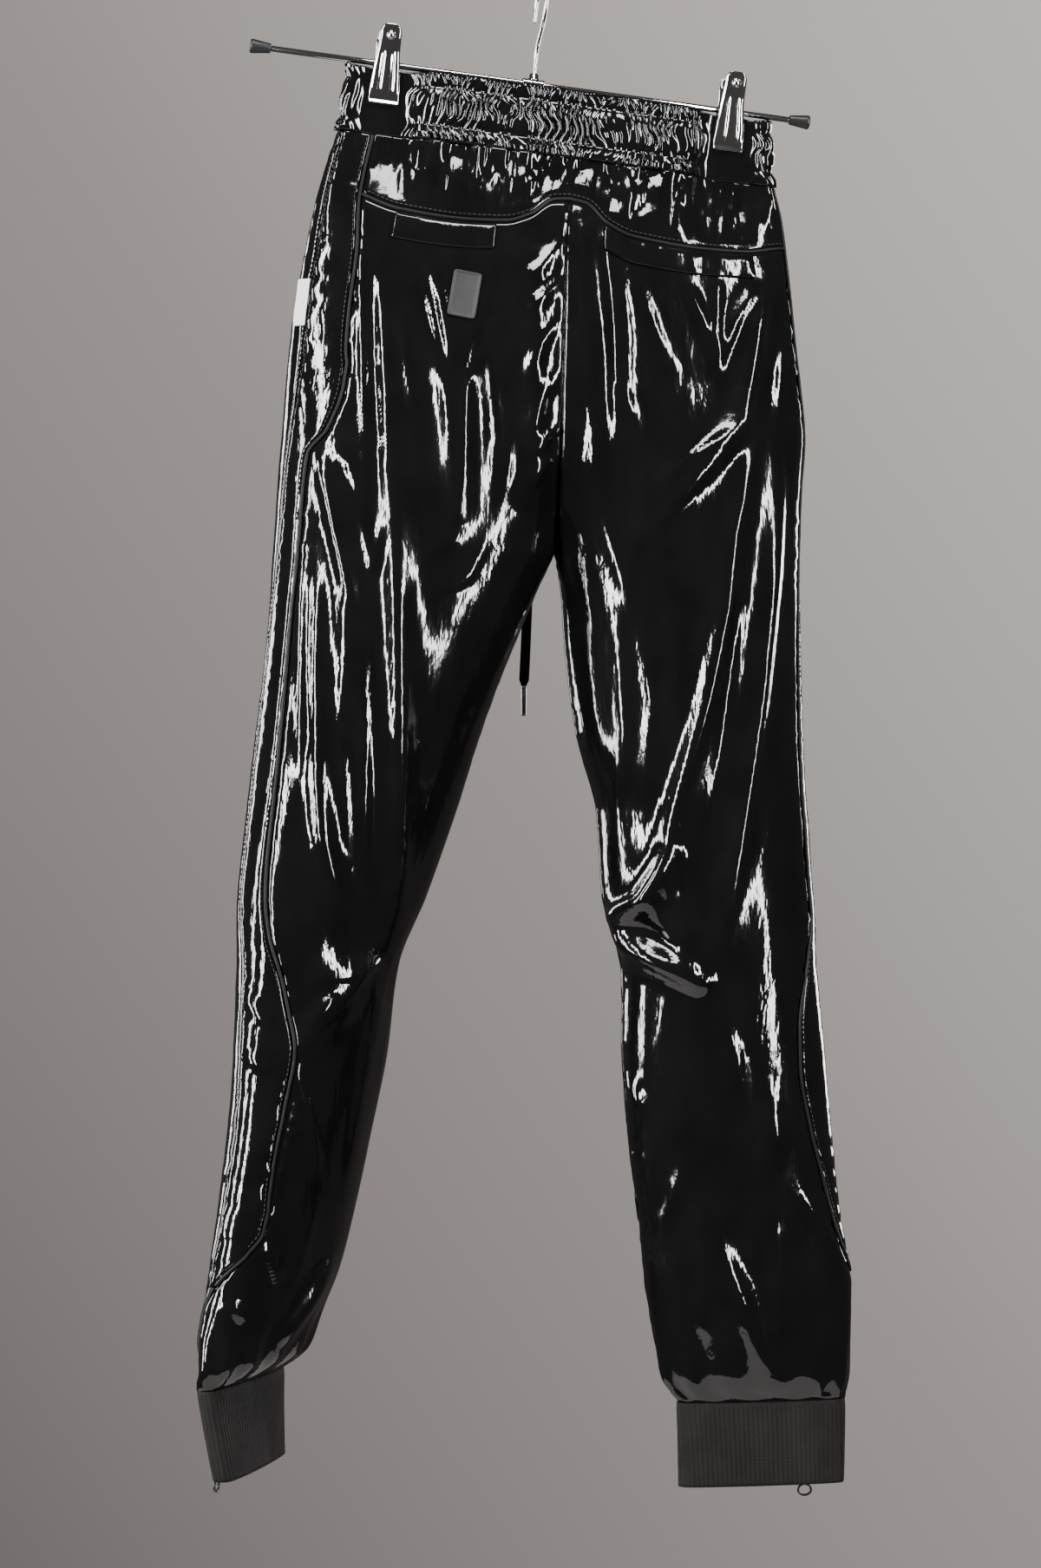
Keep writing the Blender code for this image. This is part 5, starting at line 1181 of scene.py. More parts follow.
@dataclass
class Yoke:
    """The gathered yoke across the back, with the piping under it."""

    columns: int = 104
    rows: int = 34
    gather_height: float = 2.0 * MM
    swell: float = 0.9 * MM
    roll: float = 0.8 * MM
    roll_reach: float = 1.8 * MM

    def half(self, side: str) -> tuple[Array, Array]:
        """One half of the yoke from the centre back, as outer and inner points."""
        shares = np.linspace(0, 1, self.rows + 1)[:, None]
        levels = (BODY_TOP * (1 - shares) + YOKE_SIDE_Z * shares)[:, 0]
        edges = panel_edge(side, "back", levels, -PIPING_ROOM)
        share = np.linspace(0, 1, self.columns + 1) ** PEAK_POWER
        angles = 90.0 + share * (edges[:, None] - 90.0)
        bottom = yoke_edge_z(side, angles[-1]) + yoke_room(side, angles[-1])
        heights = BODY_TOP * (1 - shares) + bottom * shares
        flat = cloth_point(side, angles, heights)
        line = flat * np.array([1.0, 0.0, 0.22]) + np.array([0.35, 0.0, 0.0]) * shares[..., None] * 0.02
        fine = np.abs(lattice_noise(line, (0.0052, 1.0, 0.006), 61)) * 2 - 0.5
        wide = lattice_noise(line, (0.012, 1.0, 0.009), 62)
        bent = lattice_noise(flat, (0.016, 1.0, 0.013), 63)
        hang = 1 - smooth_step(shares, 0.25, 1.0)
        raised = self.gather_height * (fine * (1 - shares) ** 1.1 * 1.15 + wide * (0.2 + 0.8 * hang) * 0.7)
        raised = raised + self.swell * bent * np.sin(np.pi * np.clip(shares, 0, 1)) ** 0.7
        edge = heights - bottom
        raised = raised * smooth_step(edge, 0.0, 0.010)
        raised = raised - self.roll * np.exp(-((edge / self.roll_reach) ** 2))
        first, last = along_rows(flat)
        raised = raised * smooth_step(last, 0.0, 0.006) - self.roll * np.exp(-((last / self.roll_reach) ** 2))
        raised = raised * smooth_step(first, -0.001, 0.003)
        outer = cloth_point(side, angles, heights, gathers=raised, crumple=0.7)
        inner = cloth_point(side, angles, heights, lift=-CLOTH, gathers=raised, crumple=0.7)
        return outer, inner

    def build(self) -> None:
        """The yoke's cloth and its piping."""
        left, right = self.half("left"), self.half("right")
        grids = [np.concatenate([a[:, ::-1], b[:, 1:]], axis=1) for a, b in zip(left, right)]
        piece = shell("yoke_cloth", *grids, VINYL)
        dress(piece, "vinyl", "back_yoke")
        rows = []
        for side in SIDES:
            angles = yoke_angles(side, 110)
            points = cloth_point(side, angles, yoke_edge_z(side, angles), lift=-PIPING_SINK)
            rows.append(points[::-1] if side == "left" else points[1:])
        piping = tube_mesh("yoke_piping_cord", np.concatenate(rows), PIPING_RADIUS, PIPING)
        dress(piping, "piping", "yoke_piping")


@dataclass(frozen=True)
class BandRow:
    """One row of the waistband: how far it stands out, and its gathers' height and sharpness."""

    down: float
    out: float
    gather: float
    pinch: float


@dataclass
class Waistband:
    """The elastic band: a top frill, a wide channel and a lower frill, gathered all round."""

    per_gather: int = 10
    rows: int = 36
    profile: tuple[BandRow, ...] = table(
        BandRow, (0.0000, 0.0009, 0.0011, 0.08), (0.0035, 0.0022, 0.0012, 0.12),
        (0.0078, 0.0016, 0.0010, 0.32), (0.0103, 0.0002, 0.0007, 0.40), (0.0130, 0.0016, 0.0010, 0.36),
        (0.0180, 0.0030, 0.0013, 0.20), (0.0245, 0.0035, 0.0014, 0.12), (0.0310, 0.0031, 0.0013, 0.20),
        (0.0362, 0.0016, 0.0010, 0.36), (0.0390, 0.0003, 0.0007, 0.40), (0.0420, 0.0016, 0.0010, 0.32),
        (0.0465, 0.0028, 0.0013, 0.12), (WAIST_HEIGHT, 0.0020, 0.0012, 0.08),
    )

    def ring(self, count: int) -> tuple[Array, Array]:
        """Sides and angles of points spaced evenly round the waist, from the centre back."""
        fine = np.linspace(90.0, 270.0, 1441)
        middle = WAIST_TOP - WAIST_HEIGHT / 2
        right = cloth_point("right", fine, middle)
        left = cloth_point("left", fine[::-1], middle)
        loop = np.concatenate([right, left])
        angles = np.concatenate([fine, fine[::-1]])
        run = run_along(loop)
        places = np.arange(count) / count * run[-1]
        sides = np.where(places <= run[len(fine) - 1], "right", "left")
        return sides, np.interp(places, run, angles)

    def build(self) -> None:
        """The band's cloth."""
        count = WAIST_GATHERS * self.per_gather
        sides, turns = self.ring(count)
        down = np.linspace(0, WAIST_HEIGHT, self.rows + 1)[:, None]
        around = np.arange(count)[None, :] / self.per_gather
        values = {name: column(self.profile, "down", name, down) for name in ("out", "gather", "pinch")}
        seat = np.stack(np.broadcast_arrays(around % WAIST_GATHERS, down * 260, 0 * down), axis=-1)
        wander = lattice_noise(seat, (2.3, 2.6, 1.0), 71) * 0.75
        frame_wave = np.cos(2 * np.pi * (around + wander))
        fold = values["pinch"] * (1 - 2 * np.abs(frame_wave) ** 0.6) + (1 - values["pinch"]) * frame_wave
        size = 1 + 0.9 * lattice_noise(seat, (1.6, 4.0, 1.0), 72)
        sway = lattice_noise(seat, (6.0, 4.0, 1.0), 73) * 0.8 * MM
        raised = values["out"] + values["gather"] * fold * size + sway
        edge = np.clip(1 - down / (8 * MM), 0.0, 1.0)
        frill = lattice_noise(seat, (1.2, 900.0, 1.0), 74) * 0.8 * MM
        grids = []
        for lift, gathers in ((0.0, raised), (-WAIST_WALL, np.full_like(raised, 0.4 * MM))):
            grid = np.empty((self.rows + 1, count, 3))
            for side in SIDES:
                pick = sides == side
                level = WAIST_TOP - down
                grid[:, pick] = cloth_point(side, turns[pick], level, lift=lift, gathers=gathers[:, pick])
            grid[..., 2] += (frill - TOP_DIP_AT_CLIP * clip_pinch(grid[..., 0], grid[..., 2])) * edge
            grids.append(grid)
        piece = shell("waistband_cloth", grids[0], grids[1], BAND_VINYL, closed=True)
        dress(piece, "vinyl", "waistband")


@dataclass
class PocketBand:
    """The stitched band of a back pocket, lying on the back panel just under the yoke's piping."""

    side: str
    first: float
    last: float
    top_gap: float = 3.4 * MM
    tall: float = 0.0175
    thick: float = 0.8 * MM

    def build(self) -> None:
        """The band, from the back panel's own points moved out."""
        side = self.side
        edge = yoke_angles(side, 260)
        share = np.linspace(0, 1, len(edge))
        angles = np.interp(np.linspace(self.first, self.last, 64), share, edge)
        top = yoke_edge_z(side, angles) - yoke_room(side, angles) - self.top_gap + PIPING_ROOM
        down = np.linspace(0, 1, 13)[:, None]
        heights = top - self.tall * down
        grid = np.broadcast_to(angles, heights.shape)
        ripple = cloth_point(side, grid, heights)
        wave = 0.4 * MM * lattice_noise(ripple * np.array([1.0, 0.0, 1.0]), (0.007, 1.0, 0.012), 81)
        first, last = along_rows(ripple)
        edge_roll = np.minimum(np.minimum(first, last), np.minimum(down, 1 - down) * self.tall)
        stitched = np.exp(-((edge_roll - 2.2 * MM) / (0.6 * MM)) ** 2)
        crown = 0.6 * MM * smooth_step(edge_roll, 0.0, 3.0 * MM) - 0.3 * MM * stitched
        lift = LAY_GAP + 0.7 * MM
        outer = cloth_point(side, grid, heights, lift=lift + self.thick, gathers=wave + crown, crumple=0.8)
        inner = cloth_point(side, grid, heights, lift=lift, gathers=wave, crumple=0.8)
        piece = shell(f"pocket_band_cloth_{side}", outer, inner, VINYL)
        dress(piece, "vinyl", f"pocket_band_{side}")


@dataclass
class Cuff:
    """A ribbed knit cuff, open at the zip."""

    side: str
    per_rib: int = 6
    rows: int = 22
    wall: float = 1.4 * MM
    rib: float = 0.55 * MM

    def build(self) -> None:
        """The cuff's knit."""
        side = self.side
        top, bottom = CUFFS[side][0].z, CUFFS[side][1].z
        levels = np.linspace(top, bottom, self.rows + 1)
        first = panel_edge(side, "front", levels, SEAM_GAP / 2, True)
        last = 360 + panel_edge(side, "back", levels, -SEAM_GAP / 2, True)
        count = CUFF_RIBS * self.per_rib
        rows = []
        for low, high, z in zip(first, last, levels):
            fine = np.linspace(low, high, 900)
            points = cloth_point(side, fine, np.full_like(fine, z), cuff=True)
            run = run_along(points)
            rows.append(np.interp(np.linspace(0, run[-1], count + 1), run, fine))
        angles = np.array(rows)
        number = np.arange(count + 1.0)[None, :]
        wave = np.cos(2 * np.pi * number / self.per_rib)
        down = np.linspace(0, 1, self.rows + 1)[:, None]
        line = np.stack(np.broadcast_arrays(number, down * 10, 0 * down), axis=-1)
        soft = 0.6 * MM * lattice_noise(line, (60.0, 4.0, 1.0), 91)
        hem = 1 - 0.75 * np.exp(-((down / 0.05) ** 2)) - 0.35 * np.exp(-(((1 - down) / 0.035) ** 2))
        raised = self.rib * (0.5 + 0.5 * wave) * hem + soft
        heights = levels[:, None] + 0 * angles
        outer = cloth_point(side, angles, heights, cuff=True, gathers=raised)
        inner = cloth_point(side, angles, heights, lift=-self.wall, cuff=True, gathers=soft)
        piece = shell(f"cuff_knit_{side}", outer, inner, RIB_KNIT)
        dress(piece, "rib_knit", f"cuff_{side}")


# ---- small pieces on the cloth

@dataclass
class Stitches:
    """Rows of short raised stitches beside the seams."""

    length: float = 2.6 * MM
    pitch: float = 3.6 * MM
    radius: float = 0.28 * MM

    def row(self, path: Array) -> tuple[list, list]:
        """Points and faces of the stitches along a path."""
        run = run_along(path)
        count = int(run[-1] // self.pitch)
        starts = (np.arange(count) + 0.2) * self.pitch
        points, faces = [], []
        share = np.array([0.0, 0.25, 0.5, 0.75, 1.0])
        swell = np.array([0.35, 0.9, 1.0, 0.9, 0.35])
        for start in starts:
            places = start + share * self.length
            line = at_run(path, run, places)
            ahead = unit(line[-1] - line[0])
            wide = unit(np.cross(ahead, (0.0, 0.0, 1.0) if abs(ahead[2]) < 0.9 else (1.0, 0.0, 0.0)))
            high = np.cross(wide, ahead)
            base = len(points)
            for middle, size in zip(line, swell):
                for turn in (0.5, 2.07, 3.64, 5.21):
                    off = wide * math.cos(turn) + high * math.sin(turn)
                    points.append(middle + off * size * self.radius)
            faces += [[base + corner for corner in face] for face in grid_quads(5, 4, 0, False, True)]
            faces += [[base + 3, base + 2, base + 1, base], [base + 16, base + 17, base + 18, base + 19]]
        return points, faces

    def build(self, name: str, paths: Sequence[Array]) -> Object:
        """One piece with the stitches of several rows."""
        points, faces = [], []
        for path in paths:
            more, corners = self.row(path)
            faces += [[corner + len(points) for corner in face] for face in corners]
            points += more
        return dress(mesh_piece(name, points, faces, THREAD), "piping")


def seam_paths(side: str) -> list[Array]:
    """The stitch rows of one side: beside the piping, and two beside the front side seam."""
    top = WAIST_TOP - WAIST_HEIGHT - 3 * MM
    levels = np.linspace(top, ZIP_TOP[side] + 4 * MM, 420)
    rows = []
    for seam, room in (("back", 3.6 * MM), ("front", -1.9 * MM), ("front", 2.2 * MM)):
        angles = panel_edge(side, seam, levels, room)
        rows.append(cloth_point(side, angles, levels, lift=0.15 * MM, crumple=0.8))
    return rows


def yoke_path() -> Array:
    """The stitch row above the yoke's piping."""
    rows = []
    for side in SIDES:
        angles = yoke_angles(side, 160)[1:-3]
        above = yoke_edge_z(side, angles) + yoke_room(side, angles) + 2.2 * MM
        points = cloth_point(side, angles, above, lift=0.2 * MM, crumple=0.7)
        rows.append(points[::-1] if side == "left" else points)
    return np.concatenate(rows)


def back_angle(side: str, x: Array, z_row: Array) -> Array:
    """The angle at which the back of a section has the given x."""
    low, high = np.full(np.shape(x), 91.0), np.full(np.shape(x), 175.0)
    for _ in range(26):
        middle = (low + high) / 2
        short = SIDES[side] * (cloth_point(side, middle, z_row)[..., 0] - x) < 0
        low, high = np.where(short, middle, low), np.where(short, high, middle)
    return (low + high) / 2


@dataclass
class Badge:
    """A bare rubber badge with a raised rounded frame on the left back panel."""

    place: tuple[float, float] = (-0.0655, -0.2440)
    size: tuple[float, float, float] = (0.0205, 0.0345, 0.0016)
    gap: float = 0.9 * MM
    lean: float = math.radians(11)
    frame_width: float = 1.7 * MM
    frame_height: float = 0.55 * MM
    field_drop: float = 0.5 * MM
    corner: float = 2.2 * MM

    def build(self) -> None:
        """The badge, from the cloth's points moved out."""
        width, height, thick = self.size
        half = np.array([width / 2, height / 2])
        down = np.linspace(half[1], -half[1], 67)[:, None]
        into_corner = np.maximum(0, (np.abs(down) - half[1] + self.corner) / self.corner)
        inset = self.corner * (1 - np.sqrt(np.clip(1 - into_corner**2, 0, 1)))
        across = np.linspace(-1, 1, 41)[None, :] * (half[0] - inset)
        x = self.place[0] + across * math.cos(self.lean) + down * math.sin(self.lean)
        high = self.place[1] - across * math.sin(self.lean) + down * math.cos(self.lean)
        rows = high + tilt(high) * x
        angles = back_angle("left", x, rows)
        rim = np.minimum(half[0] - inset - np.abs(across), half[1] - np.abs(down))
        inside = smooth_step(rim, self.frame_width - 0.4 * MM, self.frame_width + 0.3 * MM)
        raised = self.frame_height * (smooth_step(rim, -0.1 * MM, 0.7 * MM) - inside)
        outer = cloth_point("left", angles, rows, lift=self.gap + thick - self.field_drop + raised)
        inner = cloth_point("left", angles, rows, lift=self.gap)
        dress(shell("badge_rubber", outer, inner, RUBBER), "rubber", "badge")


@dataclass
class SideLabel:
    """A bare folded woven label in the left front seam."""

    top: float = -0.2445
    size: tuple[float, float] = (0.011, 0.031)

    def build(self) -> None:
        """The label's two layers and its fold."""
        width, height = self.size
        rows = np.linspace(self.top, self.top - height, 31)[:, None]
        seam = seam_angle("left", "front", rows)
        first = shifted("left", seam, rows, SEAM_GAP)
        last = shifted("left", seam, rows, width)
        share = np.linspace(0, 1, 15)
        angles = first + (last - first) * share
        heights = np.broadcast_to(rows, angles.shape)
        curl = 0.7 * MM * share[None, :] ** 2 + 0.2 * MM * np.sin(heights * 300)
        outer = cloth_point("left", angles, heights, lift=LAY_GAP + 0.9 * MM, gathers=curl)
        inner = cloth_point("left", angles, heights, lift=LAY_GAP + 0.1 * MM, gathers=curl)
        piece = shell("side_label_tape", outer, inner, LABEL)
        dress(piece, "label", "side_label")


@dataclass
class AnkleZip:
    """The closed ankle zip: its tape, two rows of teeth, the slider and the ring pull."""

    side: str
    slider: tuple[float, float, float] = (0.0076, 0.0026, 0.0110)
    above_hem: float = 0.0078
    neck: float = 0.0080
    ring: tuple[float, float] = (0.0058, 0.0050)
    wire: float = 0.0009
    tooth: float = 1.5 * MM
    tape_cut: float = 0.010

    def rows(self) -> tuple[Array, Array]:
        """Heights of the leg's rows and of the cuff's rows."""
        bottom = LEGS[self.side][-1].z
        leg = np.linspace(ZIP_TOP[self.side] - SEAM_GAP, bottom + 1.2 * MM, 40)
        cuff = np.linspace(CUFFS[self.side][0].z - 0.6 * MM, CUFFS[self.side][1].z, 34)
        return leg, cuff

    def grid(self, levels: Array, cuff: bool, count: int, lift: float) -> Array:
        """Points across the tape at these heights."""
        first = panel_edge(self.side, "back", levels, SEAM_GAP / 2, cuff)
        last = panel_edge(self.side, "front", levels, -SEAM_GAP / 2, cuff)
        angles = between(first, last, count)
        heights = np.repeat(levels[:, None], count + 1, axis=1)
        crimp = 0.0 if cuff else ankle_gathers(self.side, angles, heights)
        return cloth_point(self.side, angles, heights, lift=lift, cuff=cuff, gathers=crimp)

    def tape(self) -> None:
        """The tape and the teeth down its middle."""
        leg, cuff = self.rows()
        faces = [np.concatenate([self.grid(leg, False, 8, lift), self.grid(cuff, True, 8, lift)])
                 for lift in (0.0, -CLOTH)]
        tape = shell(f"zip_tape_{self.side}", faces[0], faces[1], CORD)
        dress(tape, "cord", f"zip_{self.side}")
        self.teeth(faces[0])

    def teeth(self, tape: Array) -> None:
        """Two rows of moulded teeth that mesh down the tape's middle."""
        middle = tape[:, 4]
        run = run_along(middle)
        size = np.array([1.5, 0.8, 0.75]) * MM
        points, faces = [], []
        corners = np.array([(x, y, z) for x in (-1, 1) for y in (-1, 1) for z in (-1, 1)]) / 2
        quads = ((0, 1, 3, 2), (4, 6, 7, 5), (0, 4, 5, 1), (2, 3, 7, 6), (0, 2, 6, 4), (1, 5, 7, 3))
        for number in range(int(run[-1] // (self.tooth / 2))):
            place = number * self.tooth / 2 + 0.5 * MM
            at = at_run(middle, run, place)
            row = int(np.clip(np.searchsorted(run, place), 1, len(tape) - 1))
            wide = unit(tape[row, 5] - tape[row, 3])
            down = unit(middle[row] - middle[row - 1])
            out = np.cross(wide, down)
            out *= np.sign(out @ (at - self.core(at[2])))
            hand = 1 if number % 2 else -1
            base = at + wide * hand * 0.45 * MM + out * 0.35 * MM
            block = corners * size
            faces += [[len(points) + corner for corner in quad] for quad in quads]
            points += list(base + block[:, :1] * wide + block[:, 1:2] * out + block[:, 2:] * down)
        dress(mesh_piece(f"zip_teeth_{self.side}", points, faces, BLACK_METAL, 30), "black_metal")

    def core(self, z: float) -> Array:
        """The middle of the ankle's section at a height."""
        rows = CUFFS if z < CUFFS[self.side][0].z else LEGS
        x, y = leg_section(rows[self.side], np.array(z))[:2]
        return np.array([float(x), float(y), z])

    def slider_place(self) -> Matrix:
        """Matrix of the slider: x across the zip, y out of the cloth and z up along it."""
        hem = CUFFS[self.side][1].z
        heights = np.array([hem + self.above_hem, hem + self.above_hem + 0.010])
        middle = (seam_angle(self.side, "back", heights) + seam_angle(self.side, "front", heights)) / 2
        low, high = cloth_point(self.side, middle, heights, cuff=True)
        beside = cloth_point(self.side, middle[0] + 1.0, heights[0], cuff=True)
        origin, up, across = Vector(low), Vector(high - low), Vector(beside - low)
        out = across.cross(up).normalized()
        centre = Vector((float(section(self.side, heights[0], True)[0]), 0.0, origin.z))
        if out.dot(origin - centre) < 0:
            out = -out
        across = out.cross(Vector((0.0, 0.0, 1.0))).normalized()
        out = across.cross(out).cross(across).normalized()
        axes = Matrix((across, out, across.cross(out))).transposed().to_4x4()
        return Matrix.Translation(origin) @ axes

    def metal(self) -> None:
        """The slider with its two ears, and the ring pull on its own body."""
        place = self.slider_place()
        width, thick, length = self.slider
        middle = LAY_GAP + thick / 2
        pivot_out, pivot_down = LAY_GAP + thick + 1.2 * MM, length / 2 - 1.2 * MM
        tall = pivot_out + 1.1 * MM - middle
        blocks = [((width, thick, length * 0.62), (0, middle, -length * 0.19), 0.7 * MM),
                  ((width * 0.72, thick * 0.94, length * 0.56), (0, middle, length * 0.22), 0.7 * MM)]
        for x in (-2.0 * MM, 2.0 * MM):
            blocks.append(((1.0 * MM, tall, 2.6 * MM), (x, middle + tall / 2, -pivot_down), 0.35 * MM))
        pieces = [rounded_box("slider_block", size, place @ Matrix.Translation(at), BLACK_METAL, edge)
                  for size, at, edge in blocks]
        dress(joined(f"zip_slider_metal_{self.side}", pieces), "black_metal", f"zip_slider_{self.side}")
        self.pull(place, pivot_out, pivot_down)

    def pull(self, place: Matrix, pivot_out: float, pivot_down: float) -> None:
        """The ring pull: an eye on the hinge's pin, a neck that widens and an oval ring."""
        pivot = place @ Vector((0, pivot_out, -pivot_down))
        across = place.to_3x3().col[0].normalized()
        up = Vector((0.0, 0.0, 1.0))
        axes = Matrix((across, up.cross(across), up)).transposed().to_4x4()
        here = Matrix.Translation(pivot) @ axes
        turn = np.linspace(0, 2 * np.pi, 48, endpoint=False)
        centre = -self.neck - self.ring[1] + 1.4 * MM
        wide, tall = (reach - self.wire for reach in self.ring)
        loop = moved(here, [(wide * math.cos(a), 0.0, centre + tall * math.sin(a)) for a in turn])
        pieces = [tube_mesh("tab_ring", loop, self.wire, BLACK_METAL, closed=True)]
        pieces.append(turned("tab_eye", ((0.0006, 0.0012), (self.wire, 0.0010), (self.wire, -0.0010),
                                         (0.0006, -0.0012)), here @ Matrix.Rotation(math.pi / 2, 4, "Y"),
                             BLACK_METAL, 20))
        neck = bmesh.new()
        bmesh.ops.create_cube(neck, size=1.0)
        for vert in neck.verts:
            low = vert.co.z < 0
            vert.co.x *= 4.4 * MM if low else 1.8 * MM
            vert.co.y *= 1.1 * MM
            vert.co.z = -self.neck - 0.2 * MM if low else -0.3 * MM
        bmesh.ops.bevel(neck, geom=neck.edges[:], offset=0.25 * MM, segments=2, profile=0.5, affect="EDGES")
        bmesh.ops.transform(neck, matrix=here, verts=neck.verts)
        pieces.append(from_bmesh("tab_neck", neck, BLACK_METAL))
        dress(joined(f"pull_ring_{self.side}", pieces), "black_metal", f"pull_tab_{self.side}",
              body=f"{self.side}_pull_tab")

    def build(self) -> None:
        """The whole zip."""
        self.tape()
        self.metal()


# ---- drawstring

@dataclass(frozen=True)
class CordRow:
    """Where a drawstring end hangs, by the share of its height below the eyelet."""

    share: float
    x: float
    y: float


CORDS = {
    "left": table(
        CordRow, (0.00, -0.002, 0.0225), (0.04, -0.002, 0.0290), (0.10, -0.002, 0.0350),
        (0.20, -0.002, 0.0440), (0.35, -0.003, 0.0540), (0.55, -0.002, 0.0600), (0.75, -0.002, 0.0615),
        (0.90, -0.004, 0.0610), (1.00, -0.006, 0.0605),
    ),
    "right": table(
        CordRow, (0.00, 0.040, 0.0225), (0.06, 0.041, 0.0295), (0.14, 0.042, 0.0340), (0.30, 0.042, 0.0420),
        (0.55, 0.041, 0.0520), (0.80, 0.040, 0.0575), (1.00, 0.039, 0.0590),
    ),
}


@dataclass
class Drawstring:
    """One free end of the flat drawstring, with its eyelet and its metal tip."""

    side: str
    eyelet: tuple[float, float, float]
    foot: float
    points: int
    width: float = 0.0076
    thick: float = 0.0020
    tip_radius: float = 0.0021
    tip_length: float = 0.022
    bend: tuple = ((0.7 * MM, 0.0), (2.6 * MM, 0.3 * MM), (4.4 * MM, 1.9 * MM))

    def route(self) -> Array:
        """Points down the middle of the cord, from its eyelet to its tip."""
        x0, y0, z0 = self.eyelet
        share = np.linspace(0, 1, self.points)[1:]
        rows = CORDS[self.side]
        x, y = column(rows, "share", "x", share), column(rows, "share", "y", share)
        z = z0 + (self.foot - z0) * share
        start = [(x0, y0 + out, z0 - down) for out, down in self.bend]
        return np.concatenate([start, np.stack([x, y, z], axis=-1)])

    def build(self) -> None:
        """The cord, its eyelet and its tip."""
        route = self.route()
        run = run_along(route)
        fine = np.linspace(0, run[-1], round(run[-1] / (1.6 * MM)))
        path = at_run(route, run, fine)
        kernel = np.array([1, 2, 3, 2, 1]) / 9
        smooth = np.stack([np.convolve(np.pad(path[:, axis], 2, mode="edge"), kernel, "valid")
                           for axis in range(3)], axis=-1)
        smooth[[0, -1]] = path[[0, -1]]
        radii = np.full(len(smooth), self.width / 2)
        radii[-3:] *= (0.85, 0.66, 0.52)
        cord = tube_mesh(f"drawstring_braid_{self.side}", smooth, radii, CORD, 14, self.thick / self.width)
        tip = self.tip(Vector(route[-1]))
        dress(cord, "cord", f"drawstring_{self.side}")
        place = Matrix.Translation(self.eyelet) @ Matrix.Rotation(math.radians(90), 4, "X")
        profile = ((0.0052, 0.0001), (0.0050, 0.00038), (0.0043, 0.00045), (0.0034, 0.00035), (0.0030, 0.0),
                   (0.0031, -0.0004), (0.0051, -0.0004), (0.0052, -0.0002))
        dress(turned(f"eyelet_ring_{self.side}", profile, place, DARK_METAL, 48, True), "dark_metal",
              f"eyelet_{self.side}")

    def tip(self, foot: Vector) -> Object:
        """The crimped metal tip."""
        top = -LAY_GAP
        low = -self.tip_length - LAY_GAP
        r = self.tip_radius
        profile = ((r * 0.80, top), (r * 0.98, top - 0.0003), (r, top - 0.0012), (r * 0.93, top - 0.0016),
                   (r * 0.93, top - 0.0022), (r, top - 0.0026), (r * 0.96, (top + low) / 2),
                   (r * 0.86, low + 0.0016), (r * 0.80, low + 0.0004), (r * 0.62, low))
        piece = turned(f"cord_tip_{self.side}", profile, Matrix.Translation(foot), DARK_METAL, 28)
        return dress(piece, "dark_metal", f"aglet_{self.side}")


# ---- hanger

def hanger_place(x: float = 0.0, z: float = 0.0) -> Matrix:
    """A place along the bar and above the hook's inside top, turned with the hanger."""
    return Matrix.Rotation(HANGER_TILT, 4, "Y") @ Matrix.Translation((x, 0, z))


@dataclass(frozen=True)
class JawRow:
    """One row of a jaw's profile, seen along the bar."""

    z: float
    y: float
    spread: float


